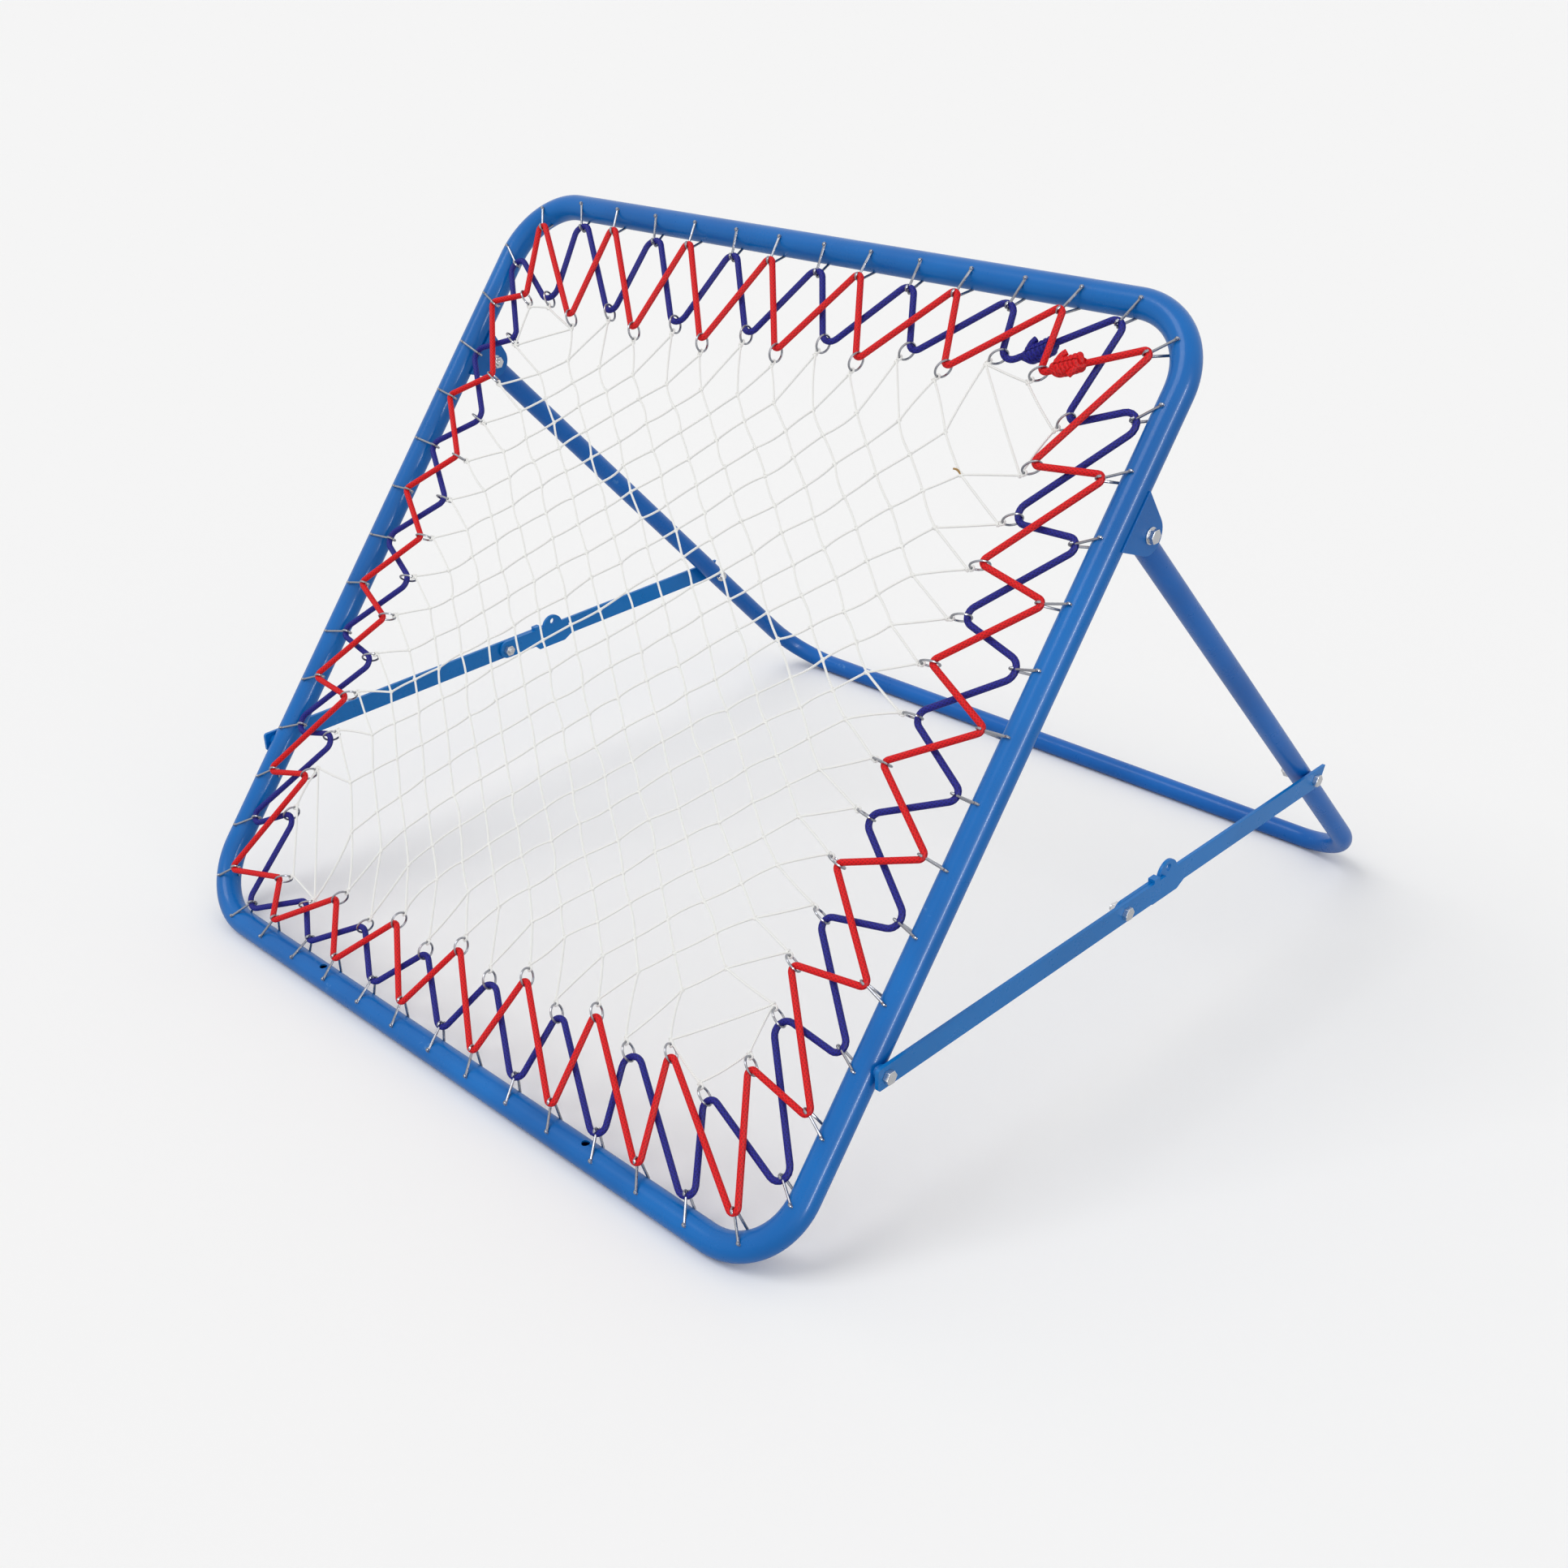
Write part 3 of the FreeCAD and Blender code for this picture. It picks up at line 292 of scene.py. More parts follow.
def leg_line():
    """Centre line of the U in its own plane, (x, down the leg, 0): straight, quarter circle, cross
    tube, quarter circle, straight."""
    run = LEG_LENGTH - LEG_BEND_R
    inner = HALF - LEG_BEND_R
    down = np.linspace(0.03, run, 24, endpoint=False)
    bend = np.linspace(0.0, math.pi / 2.0, 20, endpoint=False)
    right = np.concatenate([
        np.stack([np.full(24, HALF), down], -1),
        np.stack([inner + LEG_BEND_R * np.cos(bend), run + LEG_BEND_R * np.sin(bend)], -1),
        np.stack([np.linspace(inner, 0.0, 13), np.full(13, LEG_LENGTH)], -1)])
    whole = np.concatenate([right, right[-2::-1] * [-1.0, 1.0]])
    return np.concatenate([whole, np.zeros((len(whole), 1))], -1)


def leg_rings(radius, sides):
    """Rings along the leg, and one more at each end, where a point at height h over the axis lies
    sqrt(nose^2 - h^2) beyond the hinge axis."""
    rings = swept(leg_line()[None], W_AXIS, radius, sides)
    ends = rings[:, [0, -1]].copy()
    ends[..., 1] = -np.sqrt(LEG_NOSE_R ** 2 - ends[..., 2] ** 2)
    return np.concatenate([ends[:, :1], rings, ends[:, 1:]], 1)


def leg_to_ring(points):
    """Leg-plane points as ring-frame points, through the leg's slope below the hinge."""
    x, down, over = points[..., 0], points[..., 1], points[..., 2]
    y = hinge[1] + down * math.cos(leg_slope) + over * math.sin(leg_slope) + CENTRE_Y
    z = hinge[2] - down * math.sin(leg_slope) + over * math.cos(leg_slope) - RING_R
    v = math.cos(TILT) * y + math.sin(TILT) * z - HALF
    w = -math.sin(TILT) * y + math.cos(TILT) * z
    return np.stack([x, v, w], -1)


leg_coat = powder_coat("deep_blue_powder_coat", "#0067BE", "#005CAE")
leg_wall = np.concatenate([leg_rings(LEG_R, 40), leg_rings(LEG_R - LEG_WALL, 40)[:, ::-1]], 1)
surface("leg_tube_bent", [(leg_to_ring(leg_wall), True)], leg_coat, "leg_frame",
        ["leg_tube"])


# The 56 hooks: staples of plated spring wire welded round the ring. Each stands off the tube's
# front, reaches over the elastic that it holds and comes back to the tube's inner side.
STATIONS = 56
SIDE = STATIONS // 4
FIRST_HOOK = 0.014
HOOK_WIRE = 0.0028
HOOK_REACH = 0.029
HOOK_SQUARE = 0.3
HOOK_STAND = 0.0035
ELASTIC_R = 0.0035
SEAT_CLEAR = 0.0004
HOOK_TURN = HOOK_WIRE / 2.0 + ELASTIC_R + SEAT_CLEAR
NET_W = 0.013
COLOUR_STEP = 0.0045
# First and last ring of the net's top, right, bottom and left sides, clockwise
NET_SIDES = 0.001 * np.array([[[-370, 351], [343, 401]], [[390, 353], [382, -323]],
                              [[341, -361], [-355, -421]], [[-400, -339], [-406, 354]]])
NET_BOW = 0.014
COLOUR_PULL = 0.001 * np.array([9.0, 3.0, 10.0, 0.0])
station = np.arange(STATIONS)
is_red = station % 2 == 1
SIDE_NAMES = ("top", "right", "bottom", "left")


def net_side_points():
    """Centre of each ring of the net: even along a side that bows inwards as 1 - (2s - 1)^2."""
    start = (station - SIDE // 2) % STATIONS
    side = (start // SIDE + 1) % 4
    share = (start % SIDE) / (SIDE - 1.0)
    first, last = NET_SIDES[side, 0], NET_SIDES[side, 1]
    point = first + (last - first) * share[:, None]
    along = unit(last - first)
    outward = np.stack([-along[:, 1], along[:, 0]], -1)
    pull = np.where(is_red, COLOUR_PULL[side], -COLOUR_PULL[side])
    move = pull - NET_BOW * (1.0 - (2.0 * share - 1.0) ** 2)
    return np.concatenate([point + outward * move[:, None], np.zeros((STATIONS, 1))], -1)


hook_foot, hook_out = ring_line(FIRST_HOOK + station * PERIMETER / STATIONS)
net_side = net_side_points()
hook_seat = hook_foot - hook_out * HOOK_REACH
to_before = unit(np.roll(net_side, 1, 0) - hook_seat)
to_after = unit(np.roll(net_side, -1, 0) - hook_seat)
hook_lean = unit(unit(to_before + to_after) - hook_out * HOOK_SQUARE)
elastic_w = NET_W + np.where(is_red, COLOUR_STEP, -COLOUR_STEP)


def rounded_path(corners, radii, steps):
    """Polyline with its inner corners rounded: circle arcs of the given radii, tangent to both
    runs, each in a few steps. corners is (paths, n, 2)."""
    before = unit(corners[:, :-2] - corners[:, 1:-1])
    after = unit(corners[:, 2:] - corners[:, 1:-1])
    half = 0.5 * np.arccos(np.clip(np.sum(before * after, -1), -1.0, 1.0))
    radii = np.broadcast_to(radii, half.shape)
    middle = unit(before + after)
    centre = corners[:, 1:-1] + middle * (radii / np.sin(half))[..., None]
    swing = (math.pi / 2.0 - half)[..., None] * np.linspace(-1.0, 1.0, steps)
    turn = np.sign(before[..., 0] * after[..., 1] - before[..., 1] * after[..., 0])
    swing = swing * turn[..., None]
    spoke = -middle[..., None, :]
    arc = np.stack([spoke[..., 0] * np.cos(swing) - spoke[..., 1] * np.sin(swing),
                    spoke[..., 0] * np.sin(swing) + spoke[..., 1] * np.cos(swing)], -1)
    arcs = centre[..., None, :] + radii[..., None, None] * arc
    arcs = arcs.reshape(len(corners), -1, 2)
    return np.concatenate([corners[:, :1], arcs, corners[:, -1:]], 1)


def hook_paths():
    """Wire path of each hook in its own plane, (along the lean, w): out of the tube, along to the
    elastic, round it as a wide U, and back to the tube's inner side."""
    zero = np.zeros(STATIONS)
    front_w = elastic_w + HOOK_TURN
    back_w = elastic_w - HOOK_TURN
    far = HOOK_REACH + HOOK_TURN + zero
    slant = 1.0 / -np.sum(hook_lean * hook_out, -1)
    rear = (RING_R - 0.0005) * slant
    corners = np.stack([
        np.stack([zero, zero + RING_R - 0.0005], -1),
        np.stack([zero, zero + RING_R + HOOK_STAND], -1),
        np.stack([far, front_w], -1),
        np.stack([far, back_w], -1),
        np.stack([rear * math.cos(0.21), -rear * math.sin(0.21) / slant], -1)], 1)
    radii = np.array([0.0022, HOOK_TURN * 0.97, HOOK_TURN * 0.97])
    flat = rounded_path(corners, radii, 7)
    return (hook_foot[:, None] + hook_lean[:, None] * flat[..., :1]
            + W_AXIS * flat[..., 1:])


def plated_wire(name, code, rough):
    """Bright plated wire: fine drawing lines, and dull spots a few millimetres across."""
    material, tree, shader = new_material(name)
    place = add(tree, "TexCoord").outputs["Object"]
    spot = add(tree, "TexNoise", Vector=place, Scale=180.0, Detail=4.0).outputs["Fac"]
    gloss = add(tree, "MapRange", Value=spot, From_Min=0.3, From_Max=0.7,
                To_Min=rough - 0.08, To_Max=rough + 0.12)
    grain = add(tree, "TexNoise", Vector=place, Scale=1500.0, Detail=2.0).outputs["Fac"]
    bump = add(tree, "Bump", Height=grain, Strength=0.15, Distance=0.0001)
    tree.links.new(gloss.outputs["Result"], shader.inputs["Roughness"])
    tree.links.new(bump.outputs["Normal"], shader.inputs["Normal"])
    shader.inputs["Base Color"].default_value = linear(code)
    shader.inputs["Metallic"].default_value = 1.0
    return material


hook_wire = plated_wire("plated_spring_wire", "#9B9DA4", 0.24)
hook_side = unit(np.cross(W_AXIS, hook_lean))[:, None]
hook_rings = swept(hook_paths(), hook_side, HOOK_WIRE / 2.0, 8)
for number, side_name in enumerate(SIDE_NAMES):
    own = ((number - 1) * SIDE + SIDE // 2 + np.arange(SIDE)) % STATIONS
    surface("wire_hooks_" + side_name, [(hook_rings[own], False)], hook_wire, "main_frame",
            ["hooks_" + side_name])


# The 56 rings of plated wire that link the net's tips to the elastics. Each stands across the net's
# edge, with its elastic through its outer side and a tip of the net through its inner side.
RING_OD = 0.022
RING_WIRE = 0.0024
RING_STEP = 0.002
RING_MID_R = (RING_OD - RING_WIRE) / 2.0
RING_TURN = RING_WIRE / 2.0 + ELASTIC_R + SEAT_CLEAR
hook_centre = hook_foot + hook_lean * (HOOK_REACH + HOOK_TURN)
ring_pull = unit((np.roll(hook_centre, 1, 0) + np.roll(hook_centre, -1, 0)) / 2.0 - net_side)
ring_w = NET_W + np.where(is_red, -RING_STEP, RING_STEP)


def circles(centre, first, second, radius, steps):
    """Closed circles: centre + radius (first cos a + second sin a)."""
    angle = 2.0 * math.pi * np.arange(steps)[:, None] / steps
    return centre[:, None] + radius * (first[:, None] * np.cos(angle)
                                       + second[:, None] * np.sin(angle))


ring_wire = plated_wire("plated_ring_wire", "#A2A4AA", 0.26)
ring_centre = net_side + W_AXIS * ring_w[:, None]
across_net = np.broadcast_to(W_AXIS, ring_pull.shape)
ring_paths = circles(ring_centre, ring_pull, across_net, RING_MID_R, 24)
ring_side = np.cross(ring_pull, across_net)[:, None]
link_rings = swept(ring_paths, ring_side, RING_WIRE / 2.0, 8, closed=True)
for number, side_name in enumerate(SIDE_NAMES):
    own = ((number - 1) * SIDE + SIDE // 2 + np.arange(SIDE)) % STATIONS
    surface("wire_rings_" + side_name, [(link_rings[own], True)], ring_wire, "main_frame",
            ["rings_" + side_name])


# The two elastics: rubber cords under a braided cover, one red and one navy, each laced from hook to
# ring all the way round the net. The red one lies in front of the navy one.
KNOT_LENGTH = 0.034
KNOT_FROM_RING = 0.007
RED_KNOT_STATION = 6
NAVY_KNOT_STATION = 5


def lacing(red):
    """Turning circles of one elastic at every station: centre, radius and side (-1 turns right).
    The red cord bends as tightly as its wire, the slacker navy one in wider curves that still
    touch the wire at their tops."""
    at_hook = is_red == red
    tight = np.where(at_hook, HOOK_TURN, RING_TURN)
    radius = tight if red else tight + 0.006 + 0.002 * np.sin(1.7 * station)
    centre = np.where(at_hook[:, None], hook_centre, net_side + ring_pull * RING_MID_R)
    inwards = np.where(at_hook[:, None], hook_lean, ring_pull)
    centre = centre + inwards * (radius - tight)[:, None]
    return centre, radius, np.where(at_hook, -1.0, 1.0)


def elastic_path(red, knot_station):
    """Centre line of an elastic: an arc round each turning circle, tangent to the straight runs
    between them, with more points along the runs. Starts and ends at the knot."""
    centre, radius, side = lacing(red)
    span = np.roll(centre, -1, 0) - centre
    offset = np.roll(side * radius, -1) - side * radius
    length = np.hypot(span[:, 0], span[:, 1])
    heading = np.arctan2(span[:, 1], span[:, 0]) - np.arcsin(offset / length)
    before = np.roll(heading, 1)
    turn = (heading - before + math.pi) % (2.0 * math.pi) - math.pi
    share = np.linspace(0.0, 1.0, 9)
    at = before[:, None] + turn[:, None] * share
    left = np.stack([-np.sin(at), np.cos(at), 0.0 * at], -1)
    arcs = centre[:, None] - left * (side * radius)[:, None, None]
    leave, arrive = arcs[:, -1], np.roll(arcs[:, 0], -1, 0)
    share = np.linspace(0.0, 1.0, 9)[1:-1]
    runs = leave[:, None] + (arrive - leave)[:, None] * share[:, None]
    whole = np.concatenate([arcs, runs], 1)
    order = (knot_station + 1 + np.arange(STATIONS - 1)) % STATIONS
    way = np.array([math.cos(heading[knot_station]), math.sin(heading[knot_station]), 0.0])
    knot_start = leave[knot_station] + way * KNOT_FROM_RING
    knot_end = knot_start + way * KNOT_LENGTH
    path = np.concatenate([(knot_end - way * 0.012)[None], knot_end[None],
                           whole[order].reshape(-1, 3), arcs[knot_station], knot_start[None],
                           (knot_start + way * 0.012)[None]])
    lift = W_AXIS * (NET_W + (COLOUR_STEP if red else -COLOUR_STEP))
    return path + lift, knot_start + lift, way


def braided_cover(name, code, gap_shade):
    """Braided cover: two families of threads cross at a steep slant, 12 round the cord and one
    every 5 mm along it, and painted shade darkens the gaps between them."""
    material, tree, shader = new_material(name)
    uv = add(tree, "UVMap", {"uv_map": "along"}).outputs["UV"]
    parts = add(tree, "SeparateXYZ", Vector=uv)
    around = add(tree, "Math", {"operation": "MULTIPLY"}, i0=parts.outputs["X"],
                 i1=2.0 * math.pi * 6.0).outputs[0]
    length = add(tree, "Math", {"operation": "MULTIPLY"}, i0=parts.outputs["Y"],
                 i1=2.0 * math.pi / 0.005).outputs[0]
    waves = []
    for way in ("ADD", "SUBTRACT"):
        phase = add(tree, "Math", {"operation": way}, i0=around, i1=length).outputs[0]
        waves.append(add(tree, "Math", {"operation": "SINE"}, i0=phase).outputs[0])
    top = add(tree, "Math", {"operation": "MAXIMUM"}, i0=waves[0], i1=waves[1]).outputs[0]
    height = add(tree, "MapRange", Value=top, From_Min=-0.4, From_Max=1.0).outputs["Result"]
    shade = add(tree, "Mix", {"data_type": "RGBA"}, i0=height, i6=linear(gap_shade), i7=linear(code))
    bump = add(tree, "Bump", Height=height, Strength=0.5, Distance=0.0003)
    tree.links.new(shade.outputs[2], shader.inputs["Base Color"])
    tree.links.new(bump.outputs["Normal"], shader.inputs["Normal"])
    shader.inputs["Roughness"].default_value = 0.55
    shader.inputs["Specular IOR Level"].default_value = 0.3
    return material


# The second colour of each cover is painted shade for the gaps in its braid.
red_cover = braided_cover("red_braided_cover", "#EA0610", "#B4040C")
navy_cover = braided_cover("navy_braided_cover", "#1E2092", "#12145F")
cords = {}
for cord_name, red, knot_station, cover in (("red", True, RED_KNOT_STATION, red_cover),
                                            ("navy", False, NAVY_KNOT_STATION, navy_cover)):
    path, knot_start, way = elastic_path(red, knot_station)
    cords[cord_name] = (knot_start, way, cover)
    node = "red_elastic" if red else "blue_elastic"
    surface(cord_name + "_elastic_laced", [(swept(path[None], W_AXIS, ELASTIC_R, 14), False)],
            cover, "main_frame", [node])


# The knots that close the elastics: each cord's ends are wound about three times round each other,
# pulled tight, and cut off as two short tails.


def knot_paths(start, way, phase):
    """One cord wound as a helix whose radius swells and shrinks again: start + way x
    + radius (across cos a + w sin a)."""
    across = np.cross(W_AXIS, way)
    share = np.linspace(0.0, 1.0, 120)
    angle = 2.0 * math.pi * 2.3 * share + phase
    radius = 0.0062 * np.clip(np.sin(math.pi * share) * 2.6, 0.0, 1.0)
    radius = radius * (1.0 + 0.10 * np.sin(9.0 * share + phase))
    x = KNOT_LENGTH * (0.03 + 0.94 * share) + 0.0012 * np.sin(2.0 * angle)
    return (start + way * x[:, None] + across * (radius * np.cos(angle))[:, None]
            + W_AXIS * (radius * np.sin(angle))[:, None])


def knot_tail(start, way, at, side, lift, length):
    """A tail leaves the knot sideways and curls: a parabola from the knot's middle."""
    across = np.cross(W_AXIS, way) * side
    share = np.linspace(0.0, 1.0, 14)[:, None]
    return (start + way * (KNOT_LENGTH * at + 0.010 * share ** 2 * side)
            + across * (length * share) + W_AXIS * (lift * share * (1.3 - share)))


for cord_name, (knot_start, way, cover) in cords.items():
    shift = W_AXIS * (0.003 if cord_name == "red" else -0.003)
    up = np.cross(W_AXIS, way)
    helix = np.stack([knot_paths(knot_start + shift, way, 0.4),
                      knot_paths(knot_start + shift, way, 2.5),
                      knot_paths(knot_start + shift, way, 4.6)])
    tails = np.stack([knot_tail(knot_start + shift, way, 0.18, 1.0, 0.009, 0.013),
                      knot_tail(knot_start + shift, way, 0.85, -1.0, 0.008, 0.012)])
    node = "red_knot" if cord_name == "red" else "blue_knot"
    surface(cord_name + "_knot_wound", [(swept(helix, up, ELASTIC_R, 12), False),
                                        (swept(tails, W_AXIS, ELASTIC_R * 0.95, 12), False)],
            cover, "main_frame", [node])


# The net: white knotted twine in a diamond mesh, hung by 14 tips on each side, with a small knot at
# every crossing and a loop of twine round the wire of every ring.
TWINE_R = 0.0013
EDGE_PULL = 0.55
CELLS = SIDE - 2
SPAN = 2 * CELLS
ring_inner = net_side - ring_pull * RING_MID_R
net_tip = ring_inner - ring_pull * 0.0042


def lattice(tips):
    """Knots of the relaxed net on a grid of half meshes, where every second place holds a knot. An
    inner knot settles at the weighted mean of its four diagonal neighbours."""
    grid = np.zeros((SPAN + 1, SPAN + 1, 3))
    a = np.arange(SPAN + 1)[:, None, None] / SPAN
    b = np.arange(SPAN + 1)[None, :, None] / SPAN
    top = tips["top"][1] * (1 - a) + tips["top"][-2] * a
    low = tips["bottom"][-2] * (1 - a) + tips["bottom"][1] * a
    grid[:] = top * (1 - b) + low * b
    odd = np.arange(1, SPAN, 2)
    grid[odd, 0] = tips["top"][1:-1]
    grid[odd, SPAN] = tips["bottom"][-2:0:-1]
    grid[0, odd] = tips["left"][-2:0:-1]
    grid[SPAN, odd] = tips["right"][1:-1]
    weight = np.ones((SPAN + 1, SPAN + 1, 1))
    weight[[0, SPAN]] = weight[:, [0, SPAN]] = EDGE_PULL
    for _ in range(500):
        total, share = 0.0, 0.0
        for across, down in ((0, 0), (0, 2), (2, 0), (2, 2)):
            near = (slice(across, SPAN - 1 + across), slice(down, SPAN - 1 + down))
            total = total + grid[near] * weight[near]
            share = share + weight[near]
        grid[1:-1, 1:-1] = total / share
    return grid


tips = {name: net_tip[((number - 1) * SIDE + SIDE // 2 + np.arange(SIDE)) % STATIONS]
        for number, name in enumerate(SIDE_NAMES)}
grid = lattice(tips)
rng = np.random.default_rng(7)
inner = np.zeros((SPAN + 1, SPAN + 1, 1))
inner[1:-1, 1:-1] = 1.0
grid = grid + inner * rng.normal(0.0, 1.0, grid.shape) * [0.0012, 0.0012, 0.0010]
grid[..., 2] += NET_W
held = {name: points + W_AXIS * NET_W for name, points in tips.items()}
a, b = np.meshgrid(np.arange(SPAN + 1), np.arange(SPAN + 1), indexing="ij")
is_knot = (a + b) % 2 == 1
down_right = is_knot[:-1, :-1]
down_left = is_knot[1:, :-1]
strand_ends = [np.stack([grid[:-1, :-1][down_right], grid[1:, 1:][down_right]], 1),
               np.stack([grid[1:, :-1][down_left], grid[:-1, 1:][down_left]], 1)]
for number, name in enumerate(SIDE_NAMES):
    this, following = held[name], held[SIDE_NAMES[(number + 1) % 4]]
    strand_ends.append(np.array([[this[-2], this[-1]], [this[-1], following[0]],
                                 [following[0], following[1]]]))
strand_ends = np.concatenate(strand_ends)
share = np.linspace(0.0, 1.0, 6)[:, None]
strands = strand_ends[:, :1] + (strand_ends[:, 1:] - strand_ends[:, :1]) * share
bow = rng.normal(0.0, 0.0009, (len(strands), 1, 3)) * (4.0 * share * (1.0 - share))
strand_rings = swept(strands + bow, W_AXIS, TWINE_R, 6)


def twine_knots(centre, size):
    """Small knots as saddle-shaped closed loops: centre + size (p cos t, q sin t, s cos 2t) in three
    axes, turned at random in the net's plane."""
    turn = rng.uniform(0.0, 2.0 * math.pi, len(centre))
    first = np.stack([np.cos(turn), np.sin(turn), 0.0 * turn], -1)[:, None]
    second = np.cross(W_AXIS, first)
    t = 2.0 * math.pi * np.arange(8)[:, None] / 8
    loops = centre[:, None] + size * (first * np.cos(t) * 1.25 + second * np.sin(t) * 0.85
                                      + W_AXIS * np.cos(2.0 * t) * 0.6)
    return swept(loops, unit(loops - centre[:, None]), TWINE_R * 0.95, 5, closed=True)


all_tips = np.concatenate([held[name] for name in SIDE_NAMES])
knot_centres = np.concatenate([grid[1:-1, 1:-1][is_knot[1:-1, 1:-1]], all_tips])
loop_centres = np.concatenate([ring_inner + W_AXIS * NET_W])
tip_loops = circles(loop_centres, ring_pull, np.cross(W_AXIS, ring_pull), 0.0025, 12)
loop_rings = swept(tip_loops, W_AXIS, TWINE_R, 6, closed=True)


def laid_twine(name, code, gap_shade):
    """Laid twine: three strands twist round each other once every 6 mm, with painted shade in the hollows between
    them.
    """
    material, tree, shader = new_material(name)
    uv = add(tree, "UVMap", {"uv_map": "along"}).outputs["UV"]
    parts = add(tree, "SeparateXYZ", Vector=uv)
    around = add(tree, "Math", {"operation": "MULTIPLY"}, i0=parts.outputs["X"],
                 i1=2.0 * math.pi * 3.0).outputs[0]
    length = add(tree, "Math", {"operation": "MULTIPLY"}, i0=parts.outputs["Y"],
                 i1=2.0 * math.pi / 0.002).outputs[0]
    phase = add(tree, "Math", {"operation": "ADD"}, i0=around, i1=length).outputs[0]
    wave = add(tree, "Math", {"operation": "SINE"}, i0=phase).outputs[0]
    height = add(tree, "MapRange", Value=wave, From_Min=-1.0, From_Max=0.4).outputs["Result"]
    shade = add(tree, "Mix", {"data_type": "RGBA"}, i0=height, i6=linear(gap_shade), i7=linear(code))
    bump = add(tree, "Bump", Height=height, Strength=0.4, Distance=0.0002)
    tree.links.new(shade.outputs[2], shader.inputs["Base Color"])
    tree.links.new(bump.outputs["Normal"], shader.inputs["Normal"])
    shader.inputs["Roughness"].default_value = 0.8
    return material


# The second colour of each twine is painted shade between its strands.
white_twine = laid_twine("white_laid_twine", "#FCFCFA", "#E2E2DE")
surface("net_knotted", [(strand_rings, False), (twine_knots(knot_centres, 0.0017), True),
                        (loop_rings, True)], white_twine, "main_frame", ["net"])

# The loose end of the twine, tan and about a centimetre long, hangs at the net's top right corner.
tail_share = np.linspace(0.0, 1.0, 12)[:, None]
tail_start = grid[SPAN - 1, 2]
tail = (tail_start + np.array([-0.009, 0.003, 0.003]) * tail_share
        + np.array([0.0, 0.0015, 0.001]) * np.sin(math.pi * tail_share))
# Its second colour is painted shade between the strands.
tan_twine = laid_twine("tan_twine_end", "#B8935A", "#8A6A3C")
surface("twine_end", [(swept(tail[None], W_AXIS, 0.0011, 8), False)], tan_twine, "main_frame")


# Flat bars, ears, bushes and fasteners keep their machined shapes. Their edges are eased, as on
# stamped and plated steel, and faces of one curve shade as one.


def eased(name, material, width):
    """The machined shape with its points welded, its flat facets joined and its edges bevelled."""
    piece = nodes[name]
    mesh = piece.data
    mesh.materials.clear()
    mesh.materials.append(material)
    stored = mesh.attributes.get("custom_normal")
    if stored:
        mesh.attributes.remove(stored)
    mesh.polygons.foreach_set("use_smooth", np.ones(len(mesh.polygons), bool))
    weld = piece.modifiers.new("weld", "WELD")
    weld.merge_threshold = 0.00001
    flat = piece.modifiers.new("flat", "DECIMATE")
    flat.decimate_type = "DISSOLVE"
    flat.angle_limit = math.radians(1.0)
    edge = piece.modifiers.new("edge", "BEVEL")
    edge.width = width
    edge.segments = 2
    edge.limit_method = "ANGLE"
    edge.angle_limit = math.radians(32.0)
    edge.harden_normals = True


# The bars are the ring's blue, but their coat is painted lighter than the ring's: painted light that stands in for
# light on the bars' weakly lit outer faces.
bar_coat_painted_lighter = powder_coat("blue_bar_powder_coat_painted_lighter", "#0478C8", "#0270BC")
for name in ("front_bar_left", "front_bar_right", "rear_bar_left", "rear_bar_right"):
    eased(name, bar_coat_painted_lighter, 0.0006)
for name in ("hinge_ears", "stay_bushes_front"):
    eased(name, tube_coat, 0.0006)
eased("stay_bushes_rear", leg_coat, 0.0006)
zinc = plated_wire("bright_zinc_plate", "#D9DADC", 0.24)
for name in ("hinge_bolts", "hinge_nuts", "hinge_washers", "front_pivot_bolts",
             "front_pivot_nuts", "rear_pivot_studs", "rear_pivot_nuts", "rear_pivot_head_left",
             "rear_pivot_head_right", "knee_bolt_left", "knee_bolt_right", "knee_nut_left",
             "knee_nut_right"):
    eased(name, zinc, 0.0004)


# The studio: a pale floor and a pale surround, even soft light from all round, a soft sun from the
# upper left, and a long strip light that draws a bright line down the side tubes.
pale = linear("#F3F3F3")
floor_mesh = bpy.data.meshes.new("studio_floor")
reach = 60.0
floor_mesh.from_pydata([(-reach, -reach, 0), (reach, -reach, 0), (reach, reach, 0),
                        (-reach, reach, 0)], [], [(0, 1, 2, 3)])
floor_matte, floor_tree, floor_shader = new_material("pale_studio_floor")
floor_seen = add(floor_tree, "LightPath")
floor_tint = add(floor_tree, "Mix", {"data_type": "RGBA"}, i0=floor_seen.outputs["Is Camera Ray"],
                 i6=linear("#D4D4D4"), i7=linear("#FDFDFD"))
floor_tree.links.new(floor_tint.outputs[2], floor_shader.inputs["Base Color"])
floor_shader.inputs["Roughness"].default_value = 0.9
floor_shader.inputs["Specular IOR Level"].default_value = 0.1
floor_mesh.materials.append(floor_matte)
floor = bpy.data.objects.new("studio_floor", floor_mesh)
bpy.context.scene.collection.objects.link(floor)

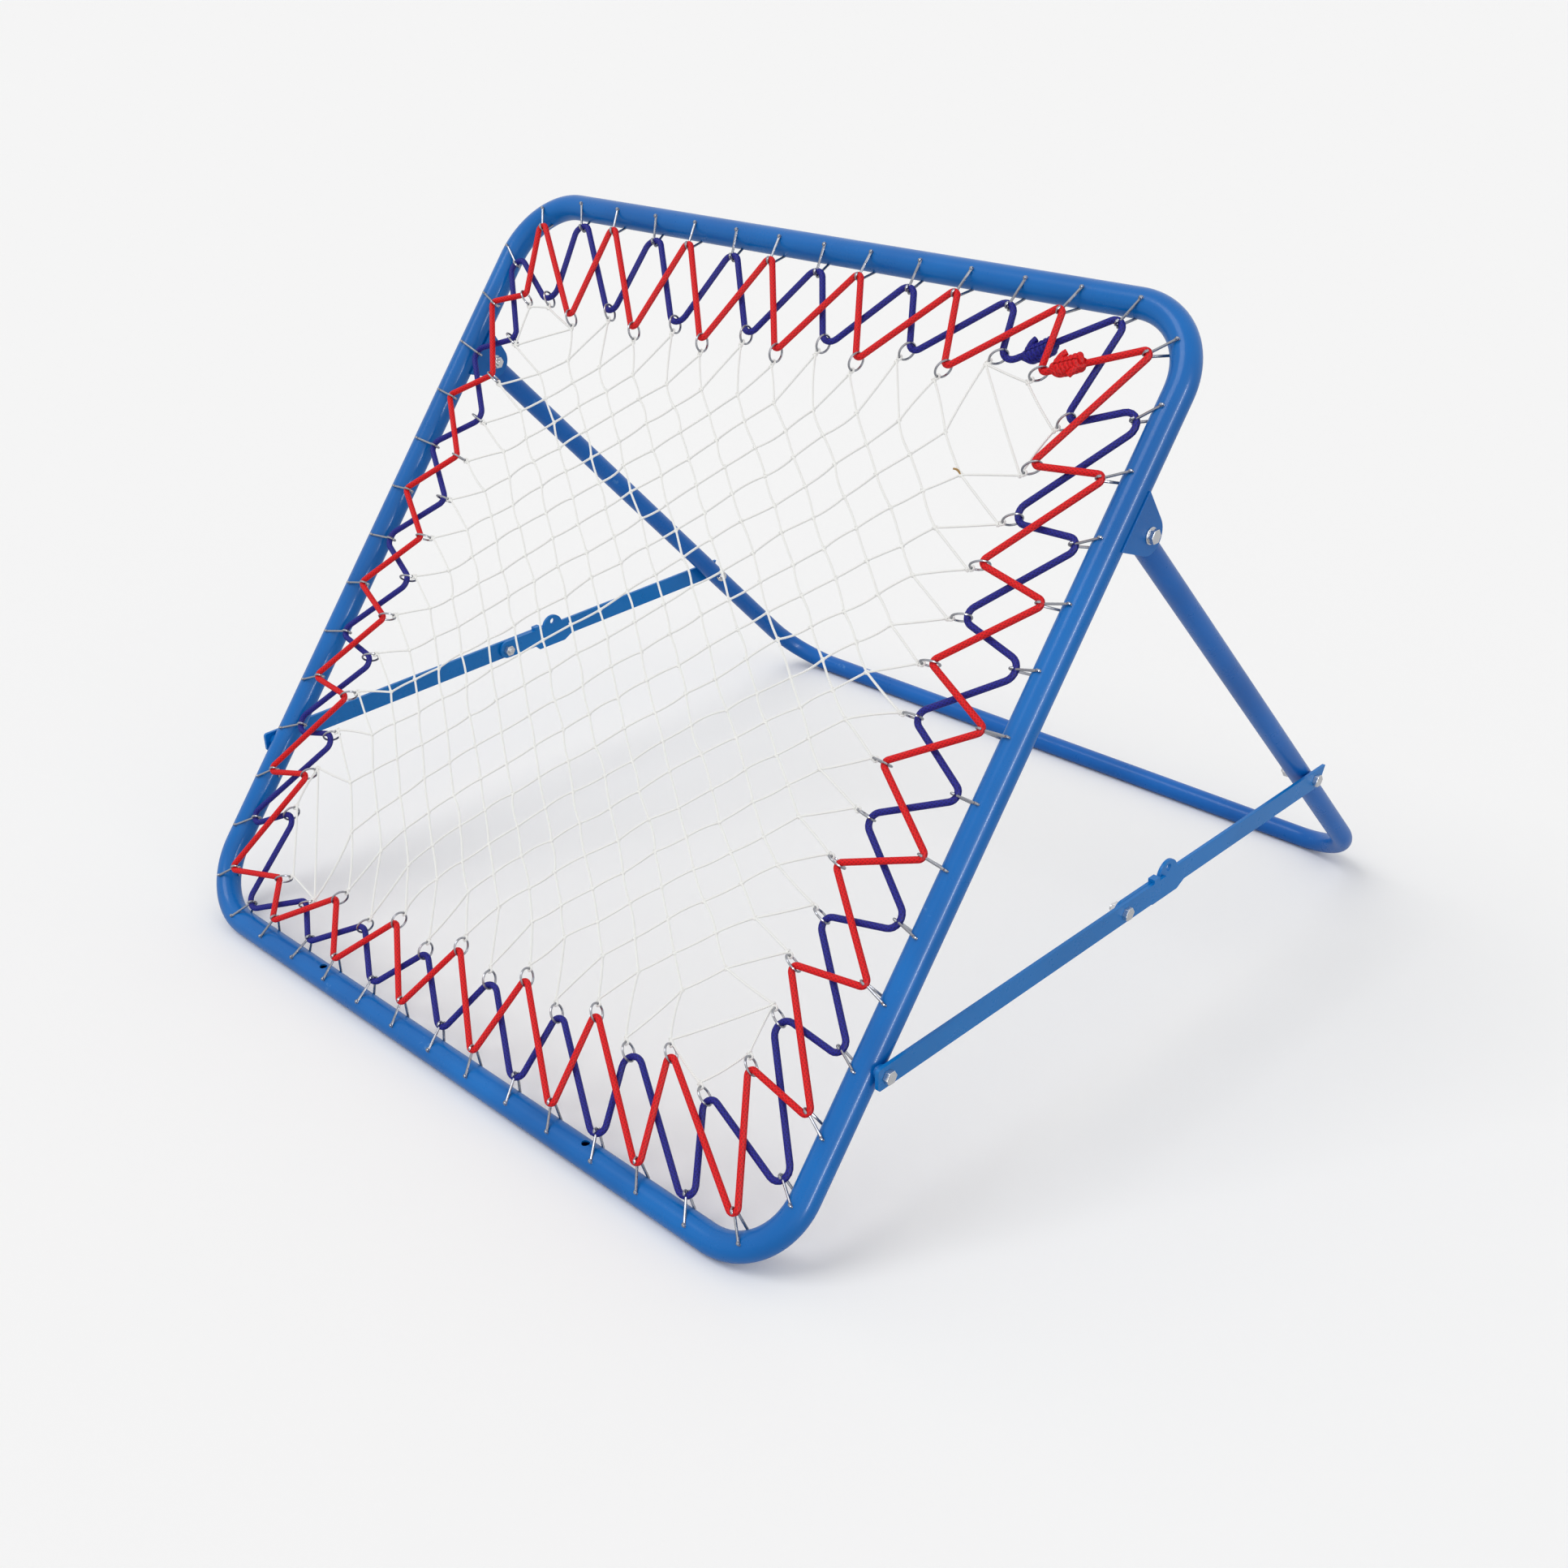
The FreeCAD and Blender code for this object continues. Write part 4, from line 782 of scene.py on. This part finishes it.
world = bpy.data.worlds.new("pale_surround")
world.use_nodes = True
bpy.context.scene.world = world
sky = world.node_tree
sky.nodes.clear()
seen = add(sky, "LightPath")
direct = add(sky, "Math", {"operation": "MAXIMUM"}, i0=seen.outputs["Is Camera Ray"],
             i1=seen.outputs["Is Glossy Ray"]).outputs[0]
direct = add(sky, "Math", {"operation": "MAXIMUM"}, i0=direct,
             i1=seen.outputs["Is Transmission Ray"]).outputs[0]
soft_light = add(sky, "Background", Color=linear("#FFFFFF"), Strength=0.66)
surround = add(sky, "Background", Color=pale, Strength=1.0)
either = add(sky, "MixShader", i0=direct, i1=soft_light.outputs[0], i2=surround.outputs[0])
add(sky, "OutputWorld", Surface=either.outputs[0])


def aimed(name, kind, place, target, **settings):
    """New lamp at a place, turned towards a target."""
    lamp = bpy.data.lights.new(name, kind)
    for setting, value in settings.items():
        setattr(lamp, setting, value)
    holder = bpy.data.objects.new(name, lamp)
    bpy.context.scene.collection.objects.link(holder)
    back = unit(np.array(place, float) - np.array(target, float))
    right = unit(np.cross([0.0, math.cos(TILT), math.sin(TILT)], back))
    up = np.cross(back, right)
    pose = np.eye(4)
    pose[:3] = np.stack([right, up, back, np.array(place, float)], -1)
    holder.matrix_world = Matrix(pose.tolist())
    return holder


aimed("soft_sun", "SUN", (-1.0, -1.6, 3.0), (0.0, 0.0, 0.0), energy=0.80, angle=math.radians(30.0))
aimed("fill_sun", "SUN", (2.0, -1.4, 1.1), (0.0, 0.0, 0.0), energy=0.40, angle=math.radians(80.0))
# The strip stands to the right, square to the side tubes, and only its reflection is wanted
strip = aimed("strip_light", "AREA", (2.82, -0.81, 1.03), (0.0, 0.0, 0.40), energy=60.0,
              shape="RECTANGLE", size=0.16, size_y=2.8)
strip.visible_diffuse = False

camera = bpy.data.cameras.new("camera")
camera.sensor_width = 36.0
camera.lens = 2250.0 / 1932.0 * 36.0
camera.shift_x = (966.0 - 860.7) / 1932.0
camera.shift_y = (961.6 - 966.0) / 1932.0
camera_object = bpy.data.objects.new("camera", camera)
bpy.context.scene.collection.objects.link(camera_object)
view_right = unit(np.array([0.6953, 0.7183, -0.0260]))
view_back = unit(np.array([0.6467, -0.6094, 0.4587]))
view_up = np.cross(view_back, view_right)
stand = np.eye(4)
stand[:3] = np.stack([view_right, view_up, view_back, np.array([1.3724, -1.4396, 1.1811])], -1)
camera_object.matrix_world = Matrix(stand.tolist())
bpy.context.scene.camera = camera_object
bpy.context.scene.view_settings.view_transform = "Standard"
